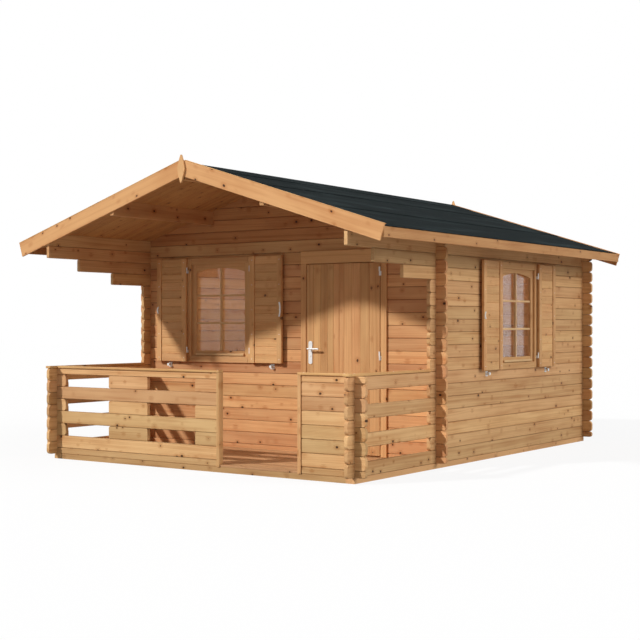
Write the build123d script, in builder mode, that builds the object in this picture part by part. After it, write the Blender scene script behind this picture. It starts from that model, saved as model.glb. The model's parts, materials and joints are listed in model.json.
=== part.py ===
"""Log cabin with a railed terrace, a felt roof, a plank door and two shuttered windows."""
import math
import os

from build123d import *

os.makedirs("parts", exist_ok=True)

# Logs and the walls they stack into
course_height = 121.0
log_thickness = 34.0
log_gap = 0.4
log_chamfer = 6.0
log_overhang = 108.0
log_end_radius = 38.0
end_radius_share = 0.45
side_courses = 18
wall_width = 3570.0
house_depth = 3400.0
terrace_depth = 1360.0

# Foundation and floors
foundation_height = 50.0
beam_width = 90.0
beam_gap = 0.3
terrace_joists = 2
house_joists = 5
floor_thickness = 18.0
floor_edge_gap = 2.0

# Roof
roof_pitch = 17.5
roof_seat_gap = 0.3
roof_board_thickness = 18.0
felt_thickness = 4.0
felt_gap = 0.2
ridge_gap = 0.2
eave_overhang = 340.0
roof_front_overhang = 112.0
roof_rear_overhang = 145.0
trim_thickness = 18.0
trim_gap = 0.3
bargeboard_width = 140.0
bargeboard_rise = 20.0
rear_bargeboard_rise = 7.0
bargeboard_tip_reach = 30.0
eave_board_height = 85.0
eave_board_drop = 8.0
finial_height = 254.0
finial_width = 90.0
finial_tip_width = 8.0
finial_point_width = 56.0
finial_point_length = 64.0
finial_rise = 43.0
purlin_width = 44.0
ridge_purlin_height = 140.0
side_purlin_height = 135.0
side_purlin_offset = 895.0
purlin_slot_gap = 0.5

# Corbels, the stepped wall logs that carry the porch roof
lower_corbel_reach = 575.0
middle_corbel_reach = 1055.0
corbel_courses = 4
corbel_end_radius = 10.0

# Terrace railing
railing_courses = 7
railing_stub_reach = 120.0
left_railing_end = 303.0
right_railing_start = 1237.0
railing_post_width = 34.0
railing_post_proud = 10.0
railing_joint_gap = 0.3
filler_length = 500.0
end_filler_length = 258.0
filler_end_radius = 16.0
cap_thickness = 22.0
cap_overhang = 16.0

# Door and its frame
door_width = 850.0
door_left = 338.0
door_top = 1920.0
door_thickness = 40.0
door_gap = 7.0
jamb_thickness = 32.0
jamb_depth = 50.0
jamb_fit_gap = 0.5
threshold_height = 25.0
casing_thickness = 20.0
door_casing_width = 67.0
door_head_casing_height = 125.0
stop_clearance = 5.0
stop_depth = 20.0
stop_width = 22.0
frame_joint_gap = 0.3

# Door hinges and handle
door_hinge_spacing = 804.0
door_hinge_count = 3
door_top_hinge_drop = 84.0
door_knuckle_radius = 7.0
door_knuckle_height = 42.0
door_pin_radius = 4.0
hinge_plate_thickness = 2.5
hinge_plate_width = 14.0
pin_clearance = 0.08
knuckle_axial_gap = 0.5
handle_plate_width = 44.0
handle_plate_height = 226.0
handle_plate_thickness = 6.0
handle_plate_inset = 48.0
handle_centre_height = 1054.0
handle_lever_rise = 36.0
handle_lever_length = 125.0
handle_lever_radius = 9.0
handle_neck_length = 40.0
handle_neck_radius = 7.0

# Windows
window_opening_width = 800.0
window_opening_height = 1045.0
window_casing_width = 65.0
window_casing_side_reach = 43.0
window_casing_end_reach = 22.0
front_window_x = -780.0
front_sill_course = 7.5
side_window_setback = 1688.0
side_sill_course = 7
window_jamb_thickness = 28.0
sash_gap = 0.3
sash_stile_width = 48.5
sash_bottom_rail = 70.5
sash_top_rail = 56.5
sash_thickness = 34.0
sash_setback = 2.0
sash_arch_rise = 43.0
glass_thickness = 4.0
glass_lap = 8.0
glass_gap = 0.3

# Shutters
shutter_axis_half_spacing = 418.0
shutter_casing_gap = 6.0
shutter_closed_gap = 10.0
shutter_thickness = 28.0
shutter_edge_gap = 7.0
shutter_meeting_gap = 3.5
shutter_height = 1085.0
shutter_sill_rise = 3.0
shutter_stile_width = 62.0
shutter_panel_recess = 8.0
shutter_hinge_inset = 125.0
shutter_knuckle_radius = 6.0
shutter_knuckle_height = 30.0
shutter_pin_radius = 3.5
shutter_lug_width = 10.0
shutter_arm_thickness = 6.0
latch_width = 14.0
latch_thickness = 8.0
latch_inset = 24.0
latch_bow = 10.0
hook_length = 134.0
keeper_length = 60.0

# Shutter holdbacks screwed to the wall below each open shutter
holdback_width = 46.0
holdback_height = 50.0
holdback_plate_thickness = 4.0
holdback_pin_radius = 15.0
holdback_reach = 40.0
holdback_drop = 9.0
holdback_edge_inset = 150.0

# Places worked out from the sizes above
front_reach = roof_front_overhang + 2 * (trim_thickness + trim_gap)
rear_reach = roof_rear_overhang + 2 * (trim_thickness + trim_gap)
overall_length = front_reach + terrace_depth + house_depth + rear_reach
terrace_y = front_reach - overall_length / 2
house_y = terrace_y + terrace_depth
rear_y = house_y + house_depth
half_width = wall_width / 2
inner_x = half_width - log_thickness
slope = math.tan(math.radians(roof_pitch))
slope_cos = math.cos(math.radians(roof_pitch))
slope_sin = math.sin(math.radians(roof_pitch))
roof_front_y = terrace_y - roof_front_overhang
roof_rear_y = rear_y + roof_rear_overhang
roof_length = roof_rear_y - roof_front_y
eave_x = half_width + eave_overhang
shutter_wall_gap = casing_thickness + shutter_casing_gap
shutter_axis_distance = (casing_thickness + shutter_closed_gap + shutter_wall_gap + shutter_thickness) / 2


def course_z(course):
    """Height above the ground of a number of courses, whole or half."""
    return foundation_height + course * course_height


wall_top_z = course_z(side_courses)
apex_z = wall_top_z + slope * inner_x
railing_top_z = course_z(railing_courses)
floor_top_z = foundation_height + floor_thickness


def roof_underside(x):
    """Height of the roof boards' underside at a distance from the ridge."""
    return apex_z - slope * abs(x)


def finish(builder, name):
    """Label a finished piece and write it to its own file."""
    builder.part.label = name
    export_step(builder.part, f"parts/{name}.step")


def draw_logs(spans, end_radius=log_end_radius):
    """Add the face outline of each log, rounded at its ends, to the open sketch."""
    alike = {}
    for start, end, low, high in spans:
        centre = ((start + end) / 2, (course_z(low) + course_z(high)) / 2)
        alike.setdefault((end - start, high - low), []).append(centre)
    for (length, rows), centres in alike.items():
        height = rows * course_height - log_gap
        with Locations(*centres):
            RectangleRounded(length, height, min(end_radius, height * end_radius_share))


def cut_corner_joints(centres, courses):
    """Take the notches of the crossing logs out of the open sketch."""
    with Locations(*[(centre, course_z(course)) for centre in centres for course in courses]):
        Rectangle(
            log_thickness + 2 * log_gap,
            course_height / 2 + log_gap,
            mode=Mode.SUBTRACT,
        )


def draw_joint_grooves(faces, boundaries):
    """Add the V grooves along the joints of a log wall's two faces to the open sketch."""
    with Locations(*[(face, course_z(course)) for face in faces for course in boundaries]):
        Rectangle(groove_side, groove_side, rotation=45)


def half_step_rows(count):
    """Rows of a wall that starts with a half log, each as its lower and upper course."""
    return [(0, 0.5)] + [(row - 0.5, row + 0.5) for row in range(1, count)]


def row_boundaries(rows):
    """Courses at which the rows of a wall meet, with its lower and upper edge."""
    return [low for low, high in rows] + [rows[-1][1]]


groove_side = (log_chamfer + log_gap / 2) * math.sqrt(2)
side_rows = [(row, row + 1) for row in range(side_courses)]
gable_rows = half_step_rows(side_courses)
wall_corner_courses = range(side_courses)
gable_corner_courses = [row + 0.5 for row in range(side_courses)]
railing_corner_courses = [row + 0.5 for row in range(railing_courses)]
corner_x = half_width - log_thickness / 2
wall_reach = half_width + log_overhang


def side_log_spans():
    """Spans along Y of a side wall's logs, rails and corner stubs, and those of its corbels."""
    house_end = house_y - log_overhang
    terrace_end = terrace_y - log_overhang
    rear_end = rear_y + log_overhang
    first_corbel = side_courses - corbel_courses
    corbel_ends = [house_y - lower_corbel_reach, house_y - middle_corbel_reach, terrace_end, terrace_end]
    spans = []
    corbels = []
    for row, (low, high) in enumerate(side_rows):
        front_end = house_end
        if row < railing_courses and row % 2 == 0:
            front_end = terrace_end
        if row < railing_courses and row % 2 == 1:
            spans.append((terrace_end, terrace_y + log_thickness + railing_stub_reach, low, high))
        if row >= first_corbel:
            corbels.append((corbel_ends[row - first_corbel], house_y + log_overhang, low, high))
        spans.append((front_end, rear_end, low, high))
    return spans, corbels


def side_wall(name, outer_x, side, opening):
    """Build one side wall of logs with its rails, corbels and any window opening.

    The outer face lies at outer_x, side is 1 for the right wall and -1 for the left one.
    """
    joint_y = log_thickness / 2
    inner_face = outer_x - side * log_thickness
    log_spans, corbel_spans = side_log_spans()
    with BuildPart() as wall:
        with BuildSketch(Plane.YZ.offset(min(outer_x, inner_face))):
            draw_logs(log_spans)
            draw_logs(corbel_spans, corbel_end_radius)
            cut_corner_joints([house_y + joint_y, rear_y - joint_y], wall_corner_courses)
            cut_corner_joints([terrace_y + joint_y], range(railing_courses + 1))
            if opening:
                with Locations((opening[0], opening[1] + opening[3] / 2)):
                    Rectangle(opening[2], opening[3], mode=Mode.SUBTRACT)
        extrude(amount=log_thickness)
        with BuildSketch(Plane.XZ.offset(-roof_front_y)):
            draw_joint_grooves([outer_x, inner_face], row_boundaries(side_rows)[:-1])
            with BuildLine():
                Polyline(
                    (side * inner_x, wall_top_z - roof_seat_gap),
                    (side * half_width, roof_underside(half_width) - roof_seat_gap),
                    (side * half_width, wall_top_z),
                    (side * inner_x, wall_top_z),
                    close=True,
                )
            make_face()
        extrude(amount=-roof_length, mode=Mode.SUBTRACT)
    finish(wall, name)


def end_wall(name, outer_y, inward, openings):
    """Build the front or rear wall of logs up to the eaves, with its openings cut through."""
    with BuildPart() as wall:
        with BuildSketch(Plane.XZ.offset(-outer_y)):
            draw_logs([(-wall_reach, wall_reach, low, high) for low, high in gable_rows])
            cut_corner_joints([-corner_x, corner_x], gable_corner_courses)
            for centre, bottom, width, height in openings:
                with Locations((centre, bottom + height / 2)):
                    Rectangle(width, height, mode=Mode.SUBTRACT)
        extrude(amount=-inward * log_thickness)
        with BuildSketch(Plane.YZ.offset(-wall_reach)):
            draw_joint_grooves([outer_y, outer_y + inward * log_thickness], row_boundaries(gable_rows))
        extrude(amount=2 * wall_reach, mode=Mode.SUBTRACT)
    finish(wall, name)


def draw_purlin_section(offset, height, clearance, mode):
    """Add or cut one purlin's section, its top following the roof's underside."""
    left = offset - purlin_width / 2 - clearance
    right = offset + purlin_width / 2 + clearance
    bottom = roof_underside(offset) - height - clearance
    top = [(left, roof_underside(left) - roof_seat_gap + clearance)]
    if offset == 0:
        top.append((0, apex_z - roof_seat_gap + clearance))
    top.append((right, roof_underside(right) - roof_seat_gap + clearance))
    with BuildLine() as outline:
        Polyline((right, bottom), (left, bottom), *top, close=True)
    make_face(outline.edges(), mode=mode)


purlin_places = [
    (0, ridge_purlin_height),
    (-side_purlin_offset, side_purlin_height),
    (side_purlin_offset, side_purlin_height),
]


def gable(name, outer_y, inward):
    """Build the triangle of logs between the last full wall log and the roof."""
    first = side_courses - 0.5
    rows = math.floor((apex_z - course_z(first)) / course_height)
    reach = inner_x - log_gap
    log_rows = [(first + row, first + row + 1) for row in range(rows)]
    with BuildPart() as triangle:
        with BuildSketch(Plane.XZ.offset(-outer_y)):
            for low, high in log_rows:
                top_z = course_z(high) - log_gap / 2
                if high == log_rows[-1][1]:
                    top_z = apex_z
                bottom_z = course_z(low) + log_gap / 2
                with Locations((0, (bottom_z + top_z) / 2)):
                    Rectangle(2 * reach, top_z - bottom_z)
            with BuildLine():
                Polyline(
                    (-reach, course_z(first)),
                    (reach, course_z(first)),
                    (reach, roof_underside(reach) - roof_seat_gap),
                    (0, apex_z - roof_seat_gap),
                    (-reach, roof_underside(reach) - roof_seat_gap),
                    close=True,
                )
            make_face(mode=Mode.INTERSECT)
            for offset, height in purlin_places:
                draw_purlin_section(offset, height, purlin_slot_gap, Mode.SUBTRACT)
        extrude(amount=-inward * log_thickness)
        with BuildSketch(Plane.YZ.offset(-reach)):
            draw_joint_grooves([outer_y, outer_y + inward * log_thickness], row_boundaries(log_rows)[:-1])
        extrude(amount=2 * reach, mode=Mode.SUBTRACT)
    finish(triangle, name)


# Foundation beams: two long beams under the side walls and cross beams between them
with BuildPart() as foundation_beams:
    cross_length = wall_width - 2 * (beam_width + beam_gap)
    beam_front = terrace_y + beam_width / 2
    beam_house = house_y + log_thickness / 2
    beam_rear = rear_y - beam_width / 2
    terrace_step = (beam_house - beam_front) / (terrace_joists + 1)
    house_step = (beam_rear - beam_house) / (house_joists + 1)
    cross_places = [beam_front + terrace_step * step for step in range(terrace_joists + 1)]
    cross_places += [beam_house + house_step * step for step in range(house_joists + 2)]
    with BuildSketch():
        long_beam_x = half_width - beam_width / 2
        with Locations(*[(x, (terrace_y + rear_y) / 2) for x in (-long_beam_x, long_beam_x)]):
            Rectangle(beam_width, rear_y - terrace_y)
        with Locations(*[(0, y) for y in cross_places]):
            Rectangle(cross_length, beam_width)
    extrude(amount=foundation_height)
finish(foundation_beams, "foundation_beams")

# Terrace floor, with a tongue that fills the entry between the railings
with BuildPart() as terrace_floor:
    floor_back = house_y - floor_edge_gap
    floor_front = terrace_y + log_thickness + railing_post_proud + floor_edge_gap
    entry_left = left_railing_end + railing_post_width + floor_edge_gap
    entry_right = right_railing_start - railing_post_width - floor_edge_gap
    with BuildSketch(Plane.XY.offset(foundation_height)):
        with Locations((0, (floor_front + floor_back) / 2)):
            Rectangle(2 * (inner_x - floor_edge_gap), floor_back - floor_front)
        with Locations(((entry_left + entry_right) / 2, (terrace_y + floor_back) / 2)):
            Rectangle(entry_right - entry_left, floor_back - terrace_y)
    extrude(amount=floor_thickness)
finish(terrace_floor, "terrace_floor")

# Cabin floor, from behind the door frame to the rear wall
with BuildPart() as cabin_floor:
    cabin_front = house_y + jamb_depth + floor_edge_gap
    cabin_back = rear_y - log_thickness - floor_edge_gap
    with BuildSketch(Plane.XY.offset(foundation_height)):
        with Locations((0, (cabin_front + cabin_back) / 2)):
            Rectangle(2 * (inner_x - floor_edge_gap), cabin_back - cabin_front)
    extrude(amount=floor_thickness)
finish(cabin_floor, "cabin_floor")

# Log walls and gables
door_centre = door_left + door_width / 2
door_opening_width = door_width + 2 * (door_gap + jamb_thickness + jamb_fit_gap)
door_opening_top = door_top + door_gap + jamb_thickness + jamb_fit_gap
side_window_y = house_y + side_window_setback
front_sill_z = course_z(front_sill_course)
side_sill_z = course_z(side_sill_course)
front_openings = [
    (door_centre, foundation_height, door_opening_width, door_opening_top - foundation_height),
    (front_window_x, front_sill_z, window_opening_width, window_opening_height),
]
side_opening = (side_window_y, side_sill_z, window_opening_width, window_opening_height)
end_wall("front_wall", house_y, 1, front_openings)
end_wall("rear_wall", rear_y, -1, [])
side_wall("left_wall", -half_width, -1, None)
side_wall("right_wall", half_width, 1, side_opening)
gable("front_gable", house_y, 1)
gable("rear_gable", rear_y, -1)

# Purlins: the ridge purlin and one halfway down each slope
with BuildPart() as purlins:
    with BuildSketch(Plane.XZ.offset(-roof_front_y)):
        for purlin_offset, purlin_height in purlin_places:
            draw_purlin_section(purlin_offset, purlin_height, 0, Mode.ADD)
    extrude(amount=-roof_length)
finish(purlins, "purlins")


def roof_slab(name, side, lift, thickness):
    """Build one slope's layer of boards or felt, lifted above the roof's underside."""
    rise = lift / slope_cos
    depth = thickness / slope_cos
    near = side * ridge_gap
    far = side * eave_x
    with BuildPart() as slab:
        with BuildSketch(Plane.XZ.offset(-roof_front_y)):
            with BuildLine():
                Polyline(
                    (near, roof_underside(near) + rise),
                    (far, roof_underside(far) + rise),
                    (far, roof_underside(far) + rise + depth),
                    (near, roof_underside(near) + rise + depth),
                    close=True,
                )
            make_face()
        extrude(amount=-roof_length)
    finish(slab, name)


# Roof boards and the felt on them
for side_name, side_sign in (("left", -1), ("right", 1)):
    roof_slab(f"{side_name}_roof_boards", side_sign, 0, roof_board_thickness)
    roof_slab(f"{side_name}_roof_felt", side_sign, roof_board_thickness + felt_gap, felt_thickness)

roof_top_z = apex_z + (roof_board_thickness + felt_gap + felt_thickness) / slope_cos

# Eave boards along the lower edges of the roof
with BuildPart() as eave_boards:
    eave_top = roof_top_z - slope * eave_x - eave_board_drop
    with BuildSketch(Plane.XZ.offset(-roof_front_y)):
        for side_sign in (-1, 1):
            eave_board_x = side_sign * (eave_x + trim_gap + trim_thickness / 2)
            with Locations((eave_board_x, eave_top - eave_board_height / 2)):
                Rectangle(trim_thickness, eave_board_height)
    extrude(amount=-roof_length)
finish(eave_boards, "eave_boards")


def bargeboard(name, side, back_y, outward, rise):
    """Build one sloping board that covers the roof's edge at a gable and rises a little above it."""
    tip_x = eave_x + bargeboard_tip_reach
    near_z = roof_top_z + rise - slope * trim_gap
    tip_z = roof_top_z + rise - slope * tip_x
    with BuildPart() as board:
        with BuildSketch(Plane.XZ.offset(-back_y)):
            with BuildLine():
                Polyline(
                    (side * trim_gap, near_z),
                    (side * tip_x, tip_z),
                    (side * (tip_x - bargeboard_width * slope_sin), tip_z - bargeboard_width * slope_cos),
                    (side * trim_gap, near_z - bargeboard_width / slope_cos),
                    close=True,
                )
            make_face()
        extrude(amount=outward * trim_thickness)
    finish(board, name)


def finial(name, back_y, outward, rise):
    """Build the pointed board that covers the joint of two bargeboards."""
    top_z = roof_top_z + rise + finial_rise
    middle_z = top_z - finial_height / 2
    bottom_z = top_z - finial_height
    upper_z = top_z - finial_point_length
    lower_z = bottom_z + finial_point_length
    with BuildPart() as point:
        with BuildSketch(Plane.XZ.offset(-back_y)):
            with BuildLine():
                Polyline(
                    (-finial_tip_width / 2, top_z),
                    (finial_tip_width / 2, top_z),
                    (finial_point_width / 2, upper_z),
                    (finial_width / 2, middle_z),
                    (finial_point_width / 2, lower_z),
                    (finial_tip_width / 2, bottom_z),
                    (-finial_tip_width / 2, bottom_z),
                    (-finial_point_width / 2, lower_z),
                    (-finial_width / 2, middle_z),
                    (-finial_point_width / 2, upper_z),
                    close=True,
                )
            make_face()
        extrude(amount=outward * trim_thickness)
    finish(point, name)


# Bargeboards and finials at both gables
roof_ends = [("front", roof_front_y, 1, bargeboard_rise), ("rear", roof_rear_y, -1, rear_bargeboard_rise)]
for end_name, edge_y, outward_sign, board_rise in roof_ends:
    board_back = edge_y - outward_sign * trim_gap
    point_back = board_back - outward_sign * (trim_thickness + trim_gap)
    for side_name, side_sign in (("left", -1), ("right", 1)):
        bargeboard(f"{end_name}_{side_name}_bargeboard", side_sign, board_back, outward_sign, board_rise)
    finial(f"{end_name}_finial", point_back, outward_sign, board_rise)


def front_railing(name, spans, fillers, rows):
    """Build one part of the terrace's front railing from logs notched over the side rails, and fillers."""
    with BuildPart() as railing:
        with BuildSketch(Plane.XZ.offset(-terrace_y)):
            draw_logs(spans)
            draw_logs(fillers, filler_end_radius)
            cut_corner_joints([-corner_x, corner_x], railing_corner_courses)
            with Locations(((left_post_x + right_post_x) / 2, railing_top_z / 2)):
                Rectangle(post_inner_span, railing_top_z, mode=Mode.SUBTRACT)
        extrude(amount=-log_thickness)
        with BuildSketch(Plane.YZ.offset(-wall_reach)):
            draw_joint_grooves([terrace_y, terrace_y + log_thickness], row_boundaries(rows))
        extrude(amount=2 * wall_reach, mode=Mode.SUBTRACT)
    finish(railing, name)


# Front railing: open rails with filler blocks left of the entry, closed logs right of it
railing_rows = half_step_rows(railing_courses) + [(railing_courses - 0.5, railing_courses)]
left_post_x = left_railing_end + railing_post_width / 2
right_post_x = right_railing_start - railing_post_width / 2
post_inner_span = right_post_x - left_post_x + railing_post_width + 2 * railing_joint_gap
stub_end = railing_stub_reach - inner_x
gap_length = (left_railing_end - stub_end - filler_length - end_filler_length) / 2
left_spans = []
left_fillers = []
for row_index, (row_low, row_high) in enumerate(railing_rows):
    if row_index % 2 == 1 or row_high - row_low < 1:
        left_spans.append((-wall_reach, left_post_x, row_low, row_high))
    else:
        filler_start = stub_end + gap_length
        left_spans.append((-wall_reach, stub_end, row_low, row_high))
        left_fillers.append((filler_start, filler_start + filler_length, row_low, row_high))
        left_fillers.append((left_railing_end - end_filler_length, left_post_x, row_low, row_high))
right_spans = [(right_post_x, wall_reach, row_low, row_high) for row_low, row_high in railing_rows]
front_railing("front_railing_left", left_spans, left_fillers, railing_rows)
front_railing("front_railing_right", right_spans, [], railing_rows)

# Posts that close the railing's ends at the entry
with BuildPart() as railing_posts:
    with BuildSketch(Plane.XY.offset(foundation_height)):
        with Locations(*[(x, terrace_y + log_thickness / 2) for x in (left_post_x, right_post_x)]):
            Rectangle(railing_post_width, log_thickness + 2 * railing_post_proud)
    extrude(amount=railing_top_z - foundation_height - railing_joint_gap)
finish(railing_posts, "railing_posts")

# Cap boards on the railings, the side ones reaching over the ends of the side rails
with BuildPart() as railing_caps:
    cap_width = log_thickness + 2 * cap_overhang
    cap_front = terrace_y - cap_overhang
    cap_inner = corner_x - cap_width / 2 - railing_joint_gap
    entry_edge_left = left_railing_end + railing_post_width
    entry_edge_right = right_railing_start - railing_post_width
    side_cap_front = terrace_y - log_overhang
    side_cap_back = house_y - log_overhang - railing_joint_gap
    with BuildSketch(Plane.XY.offset(railing_top_z)):
        for cap_left, cap_right in ((-cap_inner, entry_edge_left), (entry_edge_right, cap_inner)):
            with Locations(((cap_left + cap_right) / 2, cap_front + cap_width / 2)):
                Rectangle(cap_right - cap_left, cap_width)
        with Locations(*[(x, (side_cap_front + side_cap_back) / 2) for x in (-corner_x, corner_x)]):
            Rectangle(cap_width, side_cap_back - side_cap_front)
    extrude(amount=cap_thickness)
finish(railing_caps, "railing_caps")

# Door frame: jambs, head, threshold, stops and the casing boards on the wall's face
door_right = door_left + door_width
jamb_left = door_left - door_gap
jamb_right = door_right + door_gap
head_z = door_top + door_gap
door_face_y = house_y - casing_thickness
stop_y = door_face_y + door_thickness + stop_clearance
with BuildPart() as door_frame:
    with BuildSketch(Plane.XY.offset(foundation_height)):
        for edge, side_sign in ((jamb_left, -1), (jamb_right, 1)):
            with Locations((edge + side_sign * jamb_thickness / 2, house_y + jamb_depth / 2)):
                Rectangle(jamb_thickness, jamb_depth)
    extrude(amount=head_z - foundation_height - frame_joint_gap)
    with BuildSketch(Plane.XY.offset(head_z)):
        with Locations((door_centre, house_y + jamb_depth / 2)):
            Rectangle(jamb_right - jamb_left + 2 * jamb_thickness, jamb_depth)
    extrude(amount=jamb_thickness)
    with BuildSketch(Plane.XY.offset(foundation_height)):
        with Locations((door_centre, house_y + jamb_depth / 2)):
            Rectangle(jamb_right - jamb_left - 2 * frame_joint_gap, jamb_depth)
    extrude(amount=threshold_height)
    with BuildSketch(Plane.XY.offset(foundation_height + threshold_height + frame_joint_gap)):
        for edge, side_sign in ((jamb_left, -1), (jamb_right, 1)):
            stop_x = edge - side_sign * (stop_width / 2 + frame_joint_gap)
            with Locations((stop_x, stop_y + stop_depth / 2)):
                Rectangle(stop_width, stop_depth)
    extrude(amount=head_z - foundation_height - threshold_height - stop_width - 3 * frame_joint_gap)
    with BuildSketch(Plane.XY.offset(head_z - stop_width - frame_joint_gap)):
        with Locations((door_centre, stop_y + stop_depth / 2)):
            Rectangle(jamb_right - jamb_left - 2 * frame_joint_gap, stop_depth)
    extrude(amount=stop_width)
    with BuildSketch(Plane.XZ.offset(-house_y + frame_joint_gap)):
        casing_bottom = floor_top_z + floor_edge_gap
        for edge, side_sign in ((jamb_left, -1), (jamb_right, 1)):
            casing_x = edge + side_sign * door_casing_width / 2
            with Locations((casing_x, (casing_bottom + head_z - frame_joint_gap) / 2)):
                Rectangle(door_casing_width, head_z - frame_joint_gap - casing_bottom)
        with Locations((door_centre, head_z + door_head_casing_height / 2)):
            Rectangle(jamb_right - jamb_left + 2 * door_casing_width, door_head_casing_height)
    extrude(amount=casing_thickness - frame_joint_gap)
finish(door_frame, "door_frame")

# Door leaf
door_bottom = foundation_height + threshold_height + door_gap
with BuildPart() as door_leaf:
    with BuildSketch(Plane.XZ.offset(-door_face_y)):
        with Locations((door_centre, (door_bottom + door_top) / 2)):
            Rectangle(door_width, door_top - door_bottom)
    extrude(amount=-door_thickness)
finish(door_leaf, "door_leaf")

# Door hinges: knuckles that turn with the leaf around pins fixed to the casing
door_axis_x = door_right + door_gap / 2
door_axis_y = door_face_y - door_knuckle_radius - knuckle_axial_gap
door_hinge_heights = [
    door_top - door_top_hinge_drop - door_hinge_spacing * step for step in range(door_hinge_count)
]


def door_hinge_half(centre_z, side, bottom, top, bore):
    """Add one half of a door hinge: a knuckle on the axis and its plate, with or without a bore."""
    plate_depth = door_face_y - door_axis_y
    with BuildSketch(Plane.XY.offset(centre_z + bottom)) as half:
        with Locations((door_axis_x, door_axis_y)):
            Circle(door_knuckle_radius)
        with Locations((door_axis_x + side * hinge_plate_width / 2, door_face_y - hinge_plate_thickness / 2)):
            Rectangle(hinge_plate_width, hinge_plate_thickness)
        with Locations((door_axis_x + side * hinge_plate_thickness / 2, door_axis_y + plate_depth / 2)):
            Rectangle(hinge_plate_thickness, plate_depth)
        if bore:
            with Locations((door_axis_x, door_axis_y)):
                Circle(door_pin_radius + pin_clearance, mode=Mode.SUBTRACT)
    extrude(half.sketch, amount=top - bottom)


with BuildPart() as door_hinges:
    for hinge_z in door_hinge_heights:
        door_hinge_half(hinge_z, -1, knuckle_axial_gap, door_knuckle_height, True)
finish(door_hinges, "door_hinges")

with BuildPart() as door_hinge_pins:
    for hinge_z in door_hinge_heights:
        door_hinge_half(hinge_z, 1, -door_knuckle_height, 0, False)
        with BuildSketch(Plane.XY.offset(hinge_z - door_knuckle_height / 2)):
            with Locations((door_axis_x, door_axis_y)):
                Circle(door_pin_radius)
        extrude(amount=door_knuckle_height / 2 + door_knuckle_height + knuckle_axial_gap)
finish(door_hinge_pins, "door_hinge_pins")

# Door handle: a long plate and a lever on each face of the leaf
with BuildPart() as door_handle:
    handle_x = door_left + handle_plate_inset
    lever_z = handle_centre_height + handle_lever_rise
    for face_y, outward_sign in ((door_face_y, 1), (door_face_y + door_thickness, -1)):
        with BuildSketch(Plane.XZ.offset(-face_y)):
            with Locations((handle_x, handle_centre_height)):
                RectangleRounded(
                    handle_plate_width, handle_plate_height, handle_plate_width * end_radius_share
                )
        extrude(amount=outward_sign * handle_plate_thickness)
        with BuildSketch(Plane.XZ.offset(-face_y)):
            with Locations((handle_x, lever_z)):
                Circle(handle_neck_radius)
        extrude(amount=outward_sign * (handle_plate_thickness + handle_neck_length))
        with BuildSketch(Plane.YZ.offset(handle_x - handle_lever_radius)):
            lever_y = face_y - outward_sign * (handle_plate_thickness + handle_neck_length)
            with Locations((lever_y, lever_z)):
                Circle(handle_lever_radius)
        extrude(amount=handle_lever_length + handle_lever_radius)
finish(door_handle, "door_handle")


def window_plane(centre_x, centre_y, outward):
    """Plane on a wall's outer face below a window: x along the wall, y up, z outward."""
    along = (-outward[1], outward[0], 0)
    return Plane(origin=(centre_x, centre_y, 0), x_dir=along, z_dir=(*outward, 0))


def draw_frame_bars(outer_half, low, high, width):
    """Add four bars that frame a rectangle from the outside in, kept just apart at their joints."""
    rail_length = 2 * (outer_half - width - frame_joint_gap)
    for side in (-1, 1):
        with Locations((side * (outer_half - width / 2), (low + high) / 2)):
            Rectangle(width, high - low)
    for centre in (low + width / 2, high - width / 2):
        with Locations((0, centre)):
            Rectangle(rail_length, width)


def window(name, plane, sill_z):
    """Build a window's frame with its casing, its sash and its glass in a wall opening."""
    half_opening = window_opening_width / 2 - jamb_fit_gap
    low = sill_z + jamb_fit_gap
    high = sill_z + window_opening_height - jamb_fit_gap
    casing_half = window_opening_width / 2 + window_casing_side_reach
    casing_low = sill_z - window_casing_end_reach
    casing_high = sill_z + window_opening_height + window_casing_end_reach
    with BuildPart() as frame:
        with BuildSketch(plane):
            draw_frame_bars(half_opening, low, high, window_jamb_thickness)
        extrude(amount=-jamb_depth)
        with BuildSketch(plane.offset(frame_joint_gap)):
            draw_frame_bars(casing_half, casing_low, casing_high, window_casing_width)
        extrude(amount=casing_thickness - frame_joint_gap)
    finish(frame, f"{name}_frame")

    sash_half = half_opening - window_jamb_thickness - sash_gap
    sash_low = low + window_jamb_thickness + sash_gap
    sash_high = high - window_jamb_thickness - sash_gap
    pane_half = sash_half - sash_stile_width
    spring_z = sash_high - sash_top_rail - sash_arch_rise
    with BuildPart() as sash:
        with BuildSketch(plane.offset(-sash_setback)):
            for side in (-1, 1):
                with Locations((side * (sash_half - sash_stile_width / 2), (sash_low + sash_high) / 2)):
                    Rectangle(sash_stile_width, sash_high - sash_low)
            rail_half = pane_half - frame_joint_gap
            with Locations((0, sash_low + sash_bottom_rail / 2)):
                Rectangle(2 * rail_half, sash_bottom_rail)
            with BuildLine():
                ThreePointArc((-rail_half, spring_z), (0, spring_z + sash_arch_rise), (rail_half, spring_z))
                Polyline(
                    (rail_half, spring_z),
                    (rail_half, sash_high),
                    (-rail_half, sash_high),
                    (-rail_half, spring_z),
                )
            make_face()
        extrude(amount=-sash_thickness)
    finish(sash, f"{name}_sash")

    with BuildPart() as glass:
        pane_low = sash_low + sash_bottom_rail - glass_lap
        pane_high = sash_high - sash_top_rail + glass_lap
        with BuildSketch(plane.offset(-sash_setback - sash_thickness - glass_gap)):
            with Locations((0, (pane_low + pane_high) / 2)):
                Rectangle(2 * (pane_half + glass_lap), pane_high - pane_low)
        extrude(amount=-glass_thickness)
    finish(glass, f"{name}_glass")


def shutter_heights(sill_z):
    """Lower and upper edge of the shutters of a window."""
    low = sill_z - window_casing_end_reach + shutter_sill_rise
    return low, low + shutter_height


def shutter_hinge_places(plane, sill_z, side):
    """Axis points of a shutter's two hinges, at the middle of each hinge."""
    low, high = shutter_heights(sill_z)
    return [
        plane.from_local_coords((side * shutter_axis_half_spacing, height, shutter_axis_distance))
        for height in (low + shutter_hinge_inset, high - shutter_hinge_inset)
    ]


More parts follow.
